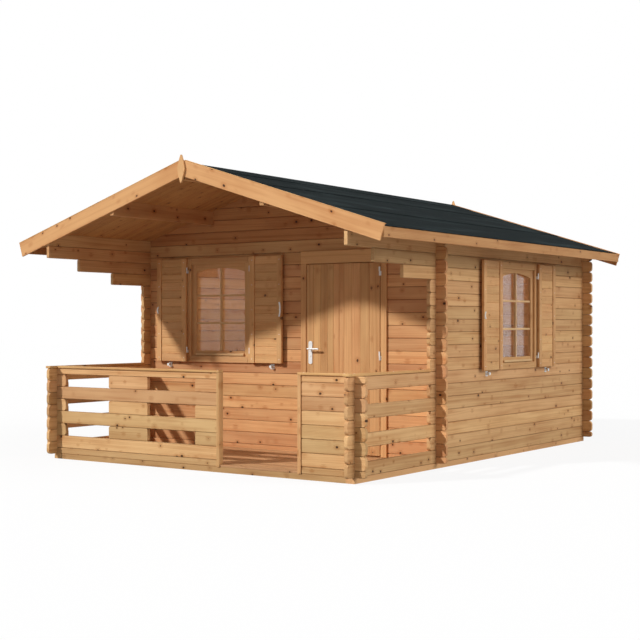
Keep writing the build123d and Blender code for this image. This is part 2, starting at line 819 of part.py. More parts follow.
def upright_plane(point, along, lift):
    """Level plane on a hinge axis, its x along the wall."""
    return Plane(origin=point + Vector(0, 0, lift), x_dir=along, z_dir=(0, 0, 1))


def shutter(name, plane, sill_z, side, latch_length):
    """Build one shutter, open flat along the wall beside its window, with its fittings.

    side is -1 for the shutter on the window's left, seen from outside, and 1 on its right.
    latch_length is that of the bowed hook or keeper on its stile, or 0 for a plain stile.
    """
    low, high = shutter_heights(sill_z)
    near = shutter_axis_half_spacing + shutter_edge_gap
    far = 2 * shutter_axis_half_spacing - shutter_meeting_gap
    width = far - near
    centre = side * (near + far) / 2
    with BuildPart() as leaf:
        with BuildSketch(plane.offset(shutter_wall_gap)):
            for stile in (near + shutter_stile_width / 2, far - shutter_stile_width / 2):
                with Locations((side * stile, (low + high) / 2)):
                    Rectangle(shutter_stile_width, high - low)
        extrude(amount=shutter_thickness)
        with BuildSketch(plane.offset(shutter_wall_gap)):
            with Locations((centre, (low + high) / 2)):
                Rectangle(width, high - low)
        extrude(amount=shutter_thickness - shutter_panel_recess)
    finish(leaf, f"{name}_shutter")

    with BuildPart() as fittings:
        for point in shutter_hinge_places(plane, sill_z, side):
            with BuildSketch(upright_plane(point, plane.x_dir, knuckle_axial_gap)):
                Circle(shutter_knuckle_radius)
                with Locations((side * shutter_edge_gap / 2, 0)):
                    Rectangle(shutter_edge_gap, shutter_arm_thickness)
                Circle(shutter_pin_radius + pin_clearance, mode=Mode.SUBTRACT)
            extrude(amount=shutter_knuckle_height)
        if latch_length:
            latch_x = side * (far - latch_inset)
            latch_z = (low + high) / 2
            with BuildSketch(plane.offset(shutter_wall_gap + shutter_thickness)):
                with BuildLine() as bow:
                    ThreePointArc(
                        (latch_x, latch_z - latch_length / 2),
                        (latch_x + side * latch_bow, latch_z),
                        (latch_x, latch_z + latch_length / 2),
                    )
                SlotArc(bow.edge(), latch_width)
            extrude(amount=latch_thickness)
    finish(fittings, f"{name}_shutter_fittings")


# Windows with their shutters
front_plane = window_plane(front_window_x, house_y, (0, -1))
side_plane = window_plane(half_width, side_window_y, (1, 0))
shutter_places = [
    ("front_left", front_plane, front_sill_z, -1, keeper_length),
    ("front_right", front_plane, front_sill_z, 1, hook_length),
    ("side_front", side_plane, side_sill_z, -1, keeper_length),
    ("side_rear", side_plane, side_sill_z, 1, 0),
]
window("front_window", front_plane, front_sill_z)
window("side_window", side_plane, side_sill_z)
for shutter_place in shutter_places:
    shutter(*shutter_place)

# Shutter hinge pins: a lug on the casing, a fixed knuckle and the pin it carries
with BuildPart() as shutter_hinge_pins:
    for shutter_name, wall_plane, window_sill, hinge_side, latch in shutter_places:
        lug_depth = shutter_axis_distance - casing_thickness
        for axis_point in shutter_hinge_places(wall_plane, window_sill, hinge_side):
            with BuildSketch(upright_plane(axis_point, wall_plane.x_dir, -shutter_knuckle_height)):
                Circle(shutter_knuckle_radius)
                with Locations((0, lug_depth / 2)):
                    Rectangle(shutter_lug_width, lug_depth)
            extrude(amount=shutter_knuckle_height)
            with BuildSketch(upright_plane(axis_point, wall_plane.x_dir, -shutter_knuckle_height / 2)):
                Circle(shutter_pin_radius)
            extrude(amount=3 * shutter_knuckle_height / 2 + 2 * knuckle_axial_gap)
finish(shutter_hinge_pins, "shutter_hinge_pins")

# Shutter holdbacks: a plate on the wall and a short catch below each open shutter
with BuildPart() as shutter_holdbacks:
    for shutter_name, wall_plane, window_sill, hinge_side, latch in shutter_places:
        shutter_low = shutter_heights(window_sill)[0]
        holdback_x = 2 * shutter_axis_half_spacing - shutter_meeting_gap - holdback_edge_inset
        holdback_top = shutter_low - holdback_drop
        with BuildSketch(wall_plane):
            with Locations((hinge_side * holdback_x, holdback_top - holdback_height / 2)):
                Rectangle(holdback_width, holdback_height)
        extrude(amount=holdback_plate_thickness)
        with BuildSketch(wall_plane):
            with Locations((hinge_side * holdback_x, holdback_top - holdback_height / 2)):
                Circle(holdback_pin_radius)
        extrude(amount=holdback_reach)
finish(shutter_holdbacks, "shutter_holdbacks")
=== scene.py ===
"""Dress a log cabin: planed logs, boarded door and floors, felt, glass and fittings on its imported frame."""
from __future__ import annotations

import itertools
import json
import logging
import math
import random
from dataclasses import dataclass
from enum import Enum
from typing import Sequence, Union

import bmesh
import bpy
from bmesh.types import BMesh, BMVert
from bpy.types import Material, Node, NodeInputs, NodeOutputs, NodeSocket, NodeTree, Object
from mathutils import Matrix, Vector

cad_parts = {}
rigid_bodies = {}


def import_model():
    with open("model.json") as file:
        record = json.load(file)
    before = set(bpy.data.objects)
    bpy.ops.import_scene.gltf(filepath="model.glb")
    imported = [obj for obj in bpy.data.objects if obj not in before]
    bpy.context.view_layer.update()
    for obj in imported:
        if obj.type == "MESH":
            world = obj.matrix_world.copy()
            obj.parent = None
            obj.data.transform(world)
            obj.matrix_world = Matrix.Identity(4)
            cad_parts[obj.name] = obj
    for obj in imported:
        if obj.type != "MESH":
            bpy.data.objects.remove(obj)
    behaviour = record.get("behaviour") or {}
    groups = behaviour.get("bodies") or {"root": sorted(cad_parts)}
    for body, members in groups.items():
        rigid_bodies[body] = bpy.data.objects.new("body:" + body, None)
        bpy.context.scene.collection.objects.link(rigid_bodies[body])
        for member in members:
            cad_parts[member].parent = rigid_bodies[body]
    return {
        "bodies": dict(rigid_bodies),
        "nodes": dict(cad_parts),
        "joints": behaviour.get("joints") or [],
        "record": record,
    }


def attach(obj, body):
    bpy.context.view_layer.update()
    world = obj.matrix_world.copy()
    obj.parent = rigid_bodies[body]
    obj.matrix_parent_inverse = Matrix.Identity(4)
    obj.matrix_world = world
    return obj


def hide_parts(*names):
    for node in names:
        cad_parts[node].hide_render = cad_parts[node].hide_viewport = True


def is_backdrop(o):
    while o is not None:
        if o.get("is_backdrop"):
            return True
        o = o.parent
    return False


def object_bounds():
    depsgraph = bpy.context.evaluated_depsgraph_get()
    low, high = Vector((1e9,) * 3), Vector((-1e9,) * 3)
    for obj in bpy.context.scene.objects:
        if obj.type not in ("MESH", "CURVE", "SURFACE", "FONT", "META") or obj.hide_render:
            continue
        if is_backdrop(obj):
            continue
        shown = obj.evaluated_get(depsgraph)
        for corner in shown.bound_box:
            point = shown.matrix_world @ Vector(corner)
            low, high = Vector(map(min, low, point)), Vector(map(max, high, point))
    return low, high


LOG = logging.getLogger("log_cabin")

Shade = tuple[int, int, int]
Triple = tuple[float, float, float]
Wire = Union[NodeSocket, float]

CABIN_BODY = "cabin"
DOOR_BODY = "door"
SHUTTERS = ("front_left", "front_right", "side_front", "side_rear")
WALL_FACE_Y = -1.0365
SIDE_FACE_X = 1.785
TERRACE_Y = -2.3965
FRONT_WALL_MIDDLE = -1.0195
REAR_WALL_MIDDLE = 2.3465
SIDE_WALL_MIDDLE = 1.768
RAILING_MIDDLE = -2.3795
FRONT_WINDOW_X, FRONT_SILL = -0.780, 0.9575
SIDE_WINDOW_Y, SIDE_SILL = 0.6515, 0.897
COURSE = 0.121
FIRST_COURSE_Z = 0.05
# Painted shade in the joints between log courses: half width of its darkest band and of its fade.
JOINT_SHADE_HALF = 0.0025
JOINT_SHADE_FADE = 0.0060
LONG_BEAM_X = 1.6948
BEAMS_TO_METRE = 2.2
BARGEBOARD_MIDDLE_Z = 2.750
APEX_Z = 2.780089
PITCH = math.radians(17.5)
FIT = 0.0003
FINE_BEVEL = 0.002
BEVEL = 0.003
ROUND_BEVEL = 0.004
LEVEL = Matrix.Identity(4)
FRONT = Vector((0, -1, 0))
UPWARD = Vector((0, 0, 1))


def tint(shade: Shade) -> tuple[float, ...]:
    """Turn a colour written as 0 to 255 display values into linear light.

    Args:
        shade: Red, green and blue display values.

    Returns:
        The linear colour, opaque.
    """
    shares = (value / 255 for value in shade)
    linear = (share / 12.92 if share <= 0.04045 else ((share + 0.055) / 1.055) ** 2.4 for share in shares)
    return (*linear, 1.0)


def add_object(name: str, data: bpy.types.ID) -> Object:
    """Make an object of some data and put it in the scene."""
    made = bpy.data.objects.new(name, data)
    bpy.context.scene.collection.objects.link(made)
    return made


class Axis(Enum):
    """Local direction of a board: along the wall, outward from it, or up."""

    ALONG = 0
    OUT = 1
    UP = 2


class GrainSource(Enum):
    """Where a timber finish takes its grain direction and board numbers from."""

    BOARDS = "boards carry their own grain"
    LOGS_ALONG_X = "log courses of the end walls, a half log at the bottom"
    LOGS_ALONG_Y = "log courses of the side walls"
    BEAMS_ALONG_Y = "beams from front to rear"
    BEAM_GRID = "two long beams at the sides and cross beams between them"
    UPRIGHT = "upright pieces"
    GABLE_SLOPE = "boards that follow the gable's slope"


class Graph:
    """Wires the nodes of one shader tree."""

    MIX_SHARE, MIX_FIRST, MIX_SECOND, MIX_RESULT = 0, 6, 7, 2

    def __init__(self, tree: NodeTree) -> None:
        """Keep the tree that is wired."""
        self.tree = tree

    def node(self, kind: str, **settings: object) -> Node:
        """Add a node.

        Args:
            kind: Blender's name of the node type.
            **settings: Properties set on the node.

        Returns:
            The new node.
        """
        made = self.tree.nodes.new(kind)
        for name, value in settings.items():
            setattr(made, name, value)
        return made

    def feed(self, target: NodeSocket, source: object) -> None:
        """Link a socket to an input, or set the input to a constant."""
        if isinstance(source, NodeSocket):
            self.tree.links.new(source, target)
        else:
            target.default_value = source

    def fill(self, made: Node, values: dict[Union[str, int], object]) -> Node:
        """Feed several inputs of a node, by name or number, and return the node."""
        for key, value in values.items():
            self.feed(made.inputs[key], value)
        return made

    def math(self, operation: str, *values: Wire, clamp: bool = False) -> NodeSocket:
        """Add a math node.

        Args:
            operation: Name of the operation.
            *values: Sockets or numbers that it works on.
            clamp: True to keep the result between 0 and 1.

        Returns:
            The result's socket.
        """
        made = self.node("ShaderNodeMath", operation=operation, use_clamp=clamp)
        return self.fill(made, dict(enumerate(values))).outputs[0]

    def plus(self, first: Wire, second: Wire) -> NodeSocket:
        """Add two values."""
        return self.math("ADD", first, second)

    def minus(self, first: Wire, second: Wire) -> NodeSocket:
        """Take the second value from the first."""
        return self.math("SUBTRACT", first, second)

    def times(self, first: Wire, second: Wire) -> NodeSocket:
        """Multiply two values."""
        return self.math("MULTIPLY", first, second)

    def scaled(self, value: Wire, factor: Wire, offset: Wire) -> NodeSocket:
        """Multiply a value by a factor and add an offset."""
        return self.math("MULTIPLY_ADD", value, factor, offset)

    def vector(self, *values: Wire) -> NodeSocket:
        """Join three values into a vector."""
        return self.fill(self.node("ShaderNodeCombineXYZ"), dict(enumerate(values))).outputs[0]

    def split(self, vector: NodeSocket) -> tuple[NodeSocket, ...]:
        """Take a vector apart into its three values."""
        return tuple(self.fill(self.node("ShaderNodeSeparateXYZ"), {0: vector}).outputs)

    def mix(self, share: Wire, first: object, second: object, blend: str = "MIX") -> NodeSocket:
        """Mix two colours.

        Args:
            share: How much of the second colour shows.
            first: First colour, as a socket or four values.
            second: Second colour, as a socket or four values.
            blend: Name of the blend mode.

        Returns:
            The mixed colour's socket.
        """
        made = self.node("ShaderNodeMix", data_type="RGBA", blend_type=blend)
        self.fill(made, {self.MIX_SHARE: share, self.MIX_FIRST: first, self.MIX_SECOND: second})
        return made.outputs[self.MIX_RESULT]

    def ramp(self, value: NodeSocket, low: Wire, high: Wire) -> NodeSocket:
        """Map a value smoothly from 0 at low to 1 at high."""
        made = self.node("ShaderNodeMapRange", interpolation_type="SMOOTHSTEP")
        return self.fill(made, {"Value": value, "From Min": low, "From Max": high}).outputs["Result"]

    def stretch(self, place: NodeSocket, cells: Triple) -> NodeSocket:
        """Scale a place in metres to cells of a texture."""
        made = self.node("ShaderNodeVectorMath", operation="MULTIPLY")
        return self.fill(made, {0: place, 1: cells}).outputs[0]

    def noise(self, place: NodeSocket, cells: Triple, detail: float) -> NodeSocket:
        """Add a noise texture stretched by a scale for each axis.

        Args:
            place: Place on the surface, in metres.
            cells: Cells to the metre along each axis.
            detail: Layers of finer noise.

        Returns:
            The noise value's socket.
        """
        values = {"Vector": self.stretch(place, cells), "Scale": 1.0, "Detail": detail}
        return self.fill(self.node("ShaderNodeTexNoise"), values).outputs["Fac"]


class SharedGroup:
    """Shader node group that is built once and placed in each material that needs it."""

    NAME = ""
    INPUTS: dict[str, str] = {}
    OUTPUTS = {"Color": "Color", "Roughness": "Float", "Height": "Float"}

    @classmethod
    def tree(cls) -> NodeTree:
        """Return the group, built on first use."""
        return bpy.data.node_groups.get(cls.NAME) or cls._build()

    @classmethod
    def _build(cls) -> NodeTree:
        """Make the group with its sockets and wire it.

        Returns:
            The group's node tree.
        """
        tree = bpy.data.node_groups.new(cls.NAME, "ShaderNodeTree")
        for way, sockets in (("INPUT", cls.INPUTS), ("OUTPUT", cls.OUTPUTS)):
            for label, kind in sockets.items():
                tree.interface.new_socket(name=label, in_out=way, socket_type=f"NodeSocket{kind}")
        graph = Graph(tree)
        cls._wire(graph, graph.node("NodeGroupInput").outputs, graph.node("NodeGroupOutput").inputs)
        return tree

    @classmethod
    def _wire(cls, graph: Graph, given: NodeOutputs, result: NodeInputs) -> None:
        """Wire the group from what it is given to its result."""
        raise NotImplementedError


class TimberFigure(SharedGroup):
    """Look of planed spruce: rings, fibres, streaks, knots, a tone for each board, and painted shade in the
    joints between logs.
    """

    NAME = "timber figure"
    INPUTS = {
        "Grain": "Vector",
        "Board": "Float",
        "Light": "Color",
        "Dark": "Color",
        "Knot": "Color",
        "Knot Share": "Float",
        "Tone Spread": "Float",
        "Joint Shade": "Float",
    }
    BOARD_SHIFTS = (41.0, 7.0, 3.0)
    KNOT_CELLS = (7.6, 9.4, 1.3)
    KNOT_RADIUS, KNOT_SPREAD = 0.065, 0.085
    CORE_EDGE, HALO_EDGE = 0.6, 3.0
    KNOT_PUSH = 0.012
    SWAY = ((0.55, 3.0, 3.0), 2.0)
    BEND = 0.09
    PITH_SPREAD = 0.12
    PITH_DEPTH, PITH_DEPTH_SPREAD = 0.02, 0.05
    RING_TURNS = 620.0
    STREAKS = ((1.1, 26.0, 26.0), 4.0)
    PATCHES = ((1.6, 5.0, 5.0), 2.0)
    FIBRES = ((9.0, 420.0, 420.0), 2.0)
    STREAK_RANGE = (0.42, 0.74)
    PATCH_LEVEL = 0.42
    RING_SHARE, STREAK_SHARE, FIBRE_SHARE, PATCH_SHARE, HALO_SHARE = 0.26, 0.42, 0.25, 1.1, 0.40
    GREEN_SHIFT, BLUE_SHIFT = 0.38, 0.20
    # The second share sets how strongly painted shade darkens the joints between logs.
    CORE_SHARE, JOINT_SHARE = 0.95, 0.30
    ROUGHNESS, CORE_GLOSS, FIGURE_GLOSS = 0.70, -0.12, -0.10
    RING_RELIEF, FIBRE_RELIEF, CORE_RELIEF = 0.35, 0.65, 0.5

    @classmethod
    def _knots(cls, graph: Graph, place: NodeSocket, share: NodeSocket) -> tuple[NodeSocket, NodeSocket]:
        """Wire the knots.

        Args:
            graph: Graph of the group.
            place: Place in the board.
            share: Share of the places for knots that have one.

        Returns:
            The knots' dark cores and the halos around them.
        """
        cells = graph.node("ShaderNodeTexVoronoi", feature="F1")
        graph.fill(cells, {"Vector": graph.stretch(place, cls.KNOT_CELLS), "Scale": 1.0})
        chosen, size, _ = graph.split(cells.outputs["Color"])
        kept = graph.math("LESS_THAN", chosen, share)
        radius = graph.scaled(size, cls.KNOT_SPREAD, cls.KNOT_RADIUS)
        core_edge, halo_edge = graph.times(radius, cls.CORE_EDGE), graph.times(radius, cls.HALO_EDGE)
        core = graph.times(graph.ramp(cells.outputs["Distance"], radius, core_edge), kept)
        return core, graph.times(graph.ramp(cells.outputs["Distance"], halo_edge, radius), kept)

    @classmethod
    def _wire(cls, graph: Graph, given: NodeOutputs, result: NodeInputs) -> None:
        """Wire the figure from a board's grain, number and colours, with painted shade darkening the joints
        between logs.
        """
        chance = graph.node("ShaderNodeTexWhiteNoise", noise_dimensions="1D")
        graph.feed(chance.inputs["W"], given["Board"])
        lots = tone, shift, depth_shift = graph.split(chance.outputs["Color"])
        grain = _, across, depth = graph.split(given["Grain"])
        moved = (graph.scaled(lot, reach, way) for lot, reach, way in zip(lots, cls.BOARD_SHIFTS, grain))
        place = graph.vector(*moved)
        core, halo = cls._knots(graph, place, given["Knot Share"])

        bend = graph.scaled(graph.noise(place, *cls.SWAY), cls.BEND, -cls.BEND / 2)
        pith = graph.scaled(graph.minus(shift, 0.5), cls.PITH_SPREAD, bend)
        off_pith = graph.plus(graph.minus(across, pith), graph.times(halo, cls.KNOT_PUSH))
        behind = graph.plus(depth, graph.scaled(depth_shift, cls.PITH_DEPTH_SPREAD, cls.PITH_DEPTH))
        squares = graph.plus(graph.math("POWER", off_pith, 2.0), graph.math("POWER", behind, 2.0))
        turns = graph.times(graph.math("SQRT", squares), cls.RING_TURNS)
        rings = graph.scaled(graph.math("SINE", turns), 0.5, 0.5)
        textures = (cls.STREAKS, cls.PATCHES, cls.FIBRES)
        streaks, patches, fibres = (graph.noise(place, *texture) for texture in textures)

        figure = graph.times(graph.math("POWER", rings, 2.0), cls.RING_SHARE)
        figure = graph.scaled(graph.ramp(streaks, *cls.STREAK_RANGE), cls.STREAK_SHARE, figure)
        figure = graph.scaled(graph.minus(fibres, 0.5), cls.FIBRE_SHARE, figure)
        figure = graph.scaled(graph.minus(patches, cls.PATCH_LEVEL), cls.PATCH_SHARE, figure)
        figure = graph.math("MULTIPLY_ADD", halo, cls.HALO_SHARE, figure, clamp=True)
        colour = graph.mix(figure, given["Light"], given["Dark"])
        level = graph.scaled(graph.minus(tone, 0.5), given["Tone Spread"], 1.0)
        yellow = graph.times(graph.minus(shift, 0.5), given["Tone Spread"])
        channels = (level, *(graph.scaled(yellow, part, level) for part in (cls.GREEN_SHIFT, cls.BLUE_SHIFT)))
        shade = graph.fill(graph.node("ShaderNodeCombineColor"), dict(enumerate(channels)))
        colour = graph.mix(1.0, colour, shade.outputs[0], "MULTIPLY")
        colour = graph.mix(graph.times(core, cls.CORE_SHARE), colour, given["Knot"])
        # Painted shade: the joints between logs are darkened towards the knot colour, standing in for the
        # shade in their grooves.
        colour = graph.mix(graph.times(given["Joint Shade"], cls.JOINT_SHARE), colour, given["Knot"])

        graph.feed(result["Color"], colour)
        gloss = graph.scaled(core, cls.CORE_GLOSS, cls.ROUGHNESS)
        graph.feed(result["Roughness"], graph.scaled(figure, cls.FIGURE_GLOSS, gloss))
        relief = graph.scaled(rings, cls.RING_RELIEF, graph.times(fibres, cls.FIBRE_RELIEF))
        graph.feed(result["Height"], graph.scaled(core, cls.CORE_RELIEF, relief))


class Speckle(SharedGroup):
    """Fine speckle and broad stains, for felt, metal and glass."""

    NAME = "speckle and stains"
    INPUTS = {
        "Place": "Vector",
        "Base": "Color",
        "Stain": "Color",
        "Grain Scale": "Float",
        "Stain Share": "Float",
        "Roughness": "Float",
        "Roughness Spread": "Float",
    }
    GRAIN_DETAIL = 3.0
    GRAIN_SHARE = 1.3
    STREAKS = ((9.0, 0.7, 9.0), 4.0)
    STREAK_RANGE = (0.48, 0.75)
    STAINS = ((1.7, 1.3, 1.9), 3.0)
    STAIN_RANGE = (0.52, 0.8)

    @classmethod
    def _wire(cls, graph: Graph, given: NodeOutputs, result: NodeInputs) -> None:
        """Wire the speckle from a place, two colours and their shares."""
        place = given["Place"]
        values = {"Vector": place, "Scale": given["Grain Scale"], "Detail": cls.GRAIN_DETAIL}
        grains = graph.fill(graph.node("ShaderNodeTexNoise"), values).outputs["Fac"]
        streaks = graph.ramp(graph.noise(place, *cls.STREAKS), *cls.STREAK_RANGE)
        stains = graph.ramp(graph.noise(place, *cls.STAINS), *cls.STAIN_RANGE)
        share = graph.scaled(graph.minus(grains, 0.5), cls.GRAIN_SHARE, graph.plus(streaks, stains))
        share = graph.math("MULTIPLY", share, given["Stain Share"], clamp=True)
        graph.feed(result["Color"], graph.mix(share, given["Base"], given["Stain"]))
        rough = graph.scaled(graph.minus(grains, 0.5), given["Roughness Spread"], given["Roughness"])
        graph.feed(result["Roughness"], rough)
        graph.feed(result["Height"], grains)


def new_material(name: str) -> tuple[Material, Graph, Node]:
    """Start a material.

    Args:
        name: Name of the material.

    Returns:
        The material, its graph and its Principled shader.
    """
    made = bpy.data.materials.new(name)
    made.use_nodes = True
    return made, Graph(made.node_tree), made.node_tree.nodes["Principled BSDF"]


@dataclass(frozen=True)
class Finish:
    """Finish of a piece: the name of its material and the name of a slot, which is kept but not used."""

    name: str
    slot: str

    def material(self) -> Material:
        """Return the finish's material, built on first use."""
        return bpy.data.materials.get(self.name) or self._build()

    def _build(self) -> Material:
        """Build the material."""
        raise NotImplementedError

    @staticmethod
    def _dress(graph: Graph, shader: Node, look: Node, depth: float, strength: float) -> None:
        """Feed a shader from a group that stands in its material.

        Args:
            graph: Graph of the material.
            shader: Shader that is fed.
            look: The group's node.
            depth: Depth of the relief in metres, or 0 for none.
            strength: Strength of the relief.
        """
        graph.fill(shader, {"Base Color": look.outputs["Color"], "Roughness": look.outputs["Roughness"]})
        if depth:
            values = {"Distance": depth, "Strength": strength, "Height": look.outputs["Height"]}
            graph.feed(shader.inputs["Normal"], graph.fill(graph.node("ShaderNodeBump"), values).outputs[0])


@dataclass(frozen=True)
class TimberFinish(Finish):
    """Planed timber of one use, with its colours and how strongly it is figured."""

    source: GrainSource
    light: Shade
    dark: Shade
    depth_centre: float = 0.0
    first_board: float = 0.0
    knot_share: float = 0.95
    tone_spread: float = 0.30
    knot: Shade = (58, 32, 16)
    specular: float = 0.14
    relief: float = 0.0008
    relief_strength: float = 0.55

    def _grain(self, graph: Graph) -> dict[str, Wire]:
        """Wire the grain direction, the board number and the painted shade in the joints between logs.

        Args:
            graph: Graph of the material.

        Returns:
            The figure's Grain, Board, and the mask of painted shade in the joints between logs, which is 1 in
            the joints and 0 elsewhere.
        """
        if self.source is GrainSource.BOARDS:
            names = ("grain", "board")
            grain, board = (graph.node("ShaderNodeAttribute", attribute_name=name) for name in names)
            return {"Grain": grain.outputs["Vector"], "Board": board.outputs["Fac"], "Joint Shade": 0.0}
        x, y, z = graph.split(graph.node("ShaderNodeTexCoord").outputs["Object"])
        if self.source in (GrainSource.LOGS_ALONG_X, GrainSource.LOGS_ALONG_Y):
            end_wall = self.source is GrainSource.LOGS_ALONG_X
            along, depth = (x, y) if end_wall else (y, x)
            course = graph.scaled(graph.minus(z, FIRST_COURSE_Z), 1 / COURSE, 0.5 if end_wall else 0.0)
            row = graph.math("FLOOR", course)
            across = graph.times(graph.minus(graph.minus(course, row), 0.5), COURSE)
            edge = graph.math("ABSOLUTE", across)
            return {
                "Grain": graph.vector(along, across, graph.minus(depth, self.depth_centre)),
                "Board": graph.plus(row, self.first_board),
                # Mask of the painted shade in the joints between log courses.
                "Joint Shade": graph.ramp(edge, COURSE / 2 - JOINT_SHADE_FADE, COURSE / 2 - JOINT_SHADE_HALF),
            }
        if self.source is GrainSource.GABLE_SLOPE:
            fall = graph.scaled(graph.math("ABSOLUTE", x), math.tan(PITCH), z)
            grain = graph.vector(x, graph.minus(fall, BARGEBOARD_MIDDLE_Z), y)
            board = graph.plus(graph.math("SIGN", x), self.first_board)
            return {"Grain": grain, "Board": board, "Joint Shade": 0.0}
        if self.source is GrainSource.BEAM_GRID:
            long_beam = graph.math("GREATER_THAN", graph.math("ABSOLUTE", x), LONG_BEAM_X)
            turned = graph.times(graph.minus(y, x), long_beam)
            order = (graph.plus(x, turned), z, graph.minus(y, turned))
        else:
            order = (y, z, x) if self.source is GrainSource.BEAMS_ALONG_Y else (z, x, y)
        apart = x if self.source is GrainSource.UPRIGHT else order[2]
        board = graph.math("FLOOR", graph.scaled(apart, BEAMS_TO_METRE, self.first_board))
        return {"Grain": graph.vector(*order), "Board": board, "Joint Shade": 0.0}

    def _build(self) -> Material:
        """Build the material."""
        made, graph, shader = new_material(self.name)
        values = {
            **self._grain(graph),
            "Light": tint(self.light),
            "Dark": tint(self.dark),
            "Knot": tint(self.knot),
            "Knot Share": self.knot_share,
            "Tone Spread": self.tone_spread,
        }
        look = graph.fill(graph.node("ShaderNodeGroup", node_tree=TimberFigure.tree()), values)
        graph.feed(shader.inputs["Specular IOR Level"], self.specular)
        self._dress(graph, shader, look, self.relief, self.relief_strength)
        return made


@dataclass(frozen=True)
class SpeckledFinish(Finish):
    """Felt, metal or glass with fine speckle and faint stains."""

    base: Shade
    stain: Shade
    grain_scale: float
    stain_share: float
    roughness: float
    roughness_spread: float
    metallic: float = 0.0
    specular: float = 0.5
    transmission: float = 0.0
    alpha: float = 1.0
    relief: float = 0.0
    relief_strength: float = 0.6

    def _build(self) -> Material:
        """Build the material."""
        made, graph, shader = new_material(self.name)
        values = {
            "Place": graph.node("ShaderNodeTexCoord").outputs["Object"],
            "Base": tint(self.base),
            "Stain": tint(self.stain),
            "Grain Scale": self.grain_scale,
            "Stain Share": self.stain_share,
            "Roughness": self.roughness,
            "Roughness Spread": self.roughness_spread,
        }
        look = graph.fill(graph.node("ShaderNodeGroup", node_tree=Speckle.tree()), values)
        plain = {
            "Metallic": self.metallic,
            "Specular IOR Level": self.specular,
            "Transmission Weight": self.transmission,
            "Alpha": self.alpha,
        }
        self._dress(graph, graph.fill(shader, plain), look, self.relief, self.relief_strength)
        return made


ENDS, SIDES = GrainSource.LOGS_ALONG_X, GrainSource.LOGS_ALONG_Y
BEAMS, BOARDS = GrainSource.BEAMS_ALONG_Y, GrainSource.BOARDS
GRID, SLOPE = GrainSource.BEAM_GRID, GrainSource.GABLE_SLOPE
LOG_TONES = ((222, 178, 126), (184, 128, 78))
# Front wall logs: redder than the other logs, painted warm light and reddish shade for their place under the
# porch.
PORCH_LIGHT_TONES = ((224, 172, 120), (188, 122, 74))
# Front gable logs: darker than the other logs, painted shade for the gable under the roof's overhang.
GABLE_SHADE_TONES = ((200, 143, 92), (162, 100, 57))
FRONT_LOGS = TimberFinish("front wall logs", "spruce_logs", ENDS, *PORCH_LIGHT_TONES, FRONT_WALL_MIDDLE, 11)
SHADED_GABLE_LOGS = TimberFinish("front gable logs with painted shade", "spruce_logs", ENDS, *GABLE_SHADE_TONES, FRONT_WALL_MIDDLE, 11)
REAR_LOGS = TimberFinish("rear wall logs", "spruce_logs", ENDS, *LOG_TONES, REAR_WALL_MIDDLE, 61)
RAILING_LOGS = TimberFinish("railing logs", "spruce_logs", ENDS, *LOG_TONES, RAILING_MIDDLE, 101)
LEFT_LOGS = TimberFinish("left wall logs", "spruce_logs", SIDES, *LOG_TONES, -SIDE_WALL_MIDDLE, 151)
RIGHT_LOGS = TimberFinish("right wall logs", "spruce_logs", SIDES, *LOG_TONES, SIDE_WALL_MIDDLE, 201)
PURLIN_TIMBER = TimberFinish(
    "purlin timber", "roof_timber", BEAMS, (208, 160, 108), (164, 106, 60), first_board=251.5
)
EAVE_TIMBER = TimberFinish(
    "eave board timber", "trim_boards", BEAMS, (208, 158, 106), (174, 117, 69), first_board=271
)
BEAM_TIMBER = TimberFinish(
    "foundation timber", "treated_beams", GRID, (214, 170, 118), (172, 122, 76), first_board=291
)
GABLE_TRIM = TimberFinish(
    "bargeboard timber", "trim_boards", SLOPE, (217, 165, 112), (184, 121, 71), first_board=311
)
UPRIGHT_TRIM = TimberFinish(
    "post timber", "trim_boards", GrainSource.UPRIGHT, (220, 172, 120), (184, 126, 76), first_board=331.5
)
FLOOR_TIMBER = TimberFinish(
    "floor board timber", "floor_boards", BOARDS, (208, 162, 118), (166, 116, 76), tone_spread=0.22
)
# Roof boards, seen only from below as the ceiling: their own darker tone, lowered about a tenth more as
# painted shade for the ceiling.
SHADED_ROOF_TIMBER = TimberFinish(
    "roof board timber with painted shade", "roof_timber", BOARDS, (198, 148, 94), (154, 98, 52), tone_spread=0.14
)
CAP_TIMBER = TimberFinish(
    "railing cap timber", "trim_boards", BOARDS, (226, 180, 122), (188, 126, 70), tone_spread=0.14
)
DOOR_TIMBER = TimberFinish(
    "door timber", "door_timber", BOARDS, (219, 170, 117), (182, 122, 74),
    knot_share=0.35, tone_spread=0.20,
)
WINDOW_TIMBER = TimberFinish(
    "window timber", "window_timber", BOARDS, (221, 174, 121), (186, 128, 78),
    knot_share=0.3, tone_spread=0.14,
)
BAR_TIMBER = TimberFinish(
    "window bar timber", "window_timber", BOARDS, (232, 196, 146), (206, 158, 104),
    knot_share=0.0, tone_spread=0.08,
)
SHUTTER_TIMBER = TimberFinish(
    "shutter timber", "shutter_boards", BOARDS, (226, 178, 124), (192, 132, 80), tone_spread=0.20
)
FELT = SpeckledFinish(
    "roof felt",
    "roof_felt",
    (18, 25, 26),
    (43, 52, 53),
    grain_scale=420.0,
    stain_share=0.65,
    roughness=0.92,
    roughness_spread=0.1,
    specular=0.03,
    relief=0.0012,
)
ZINC = SpeckledFinish(
    "zinc fittings",
    "zinc_fittings",
    (238, 238, 234),
    (208, 209, 206),
    grain_scale=160.0,
    stain_share=0.30,
    roughness=0.48,
    roughness_spread=0.16,
    metallic=0.20,
)
GLASS = SpeckledFinish(
    "window glass",
    "window_glass",
    (240, 236, 232),
    (222, 218, 214),
    grain_scale=3.0,
    stain_share=0.2,
    roughness=0.03,
    roughness_spread=0.02,
    transmission=1.0,
    alpha=0.42,
)


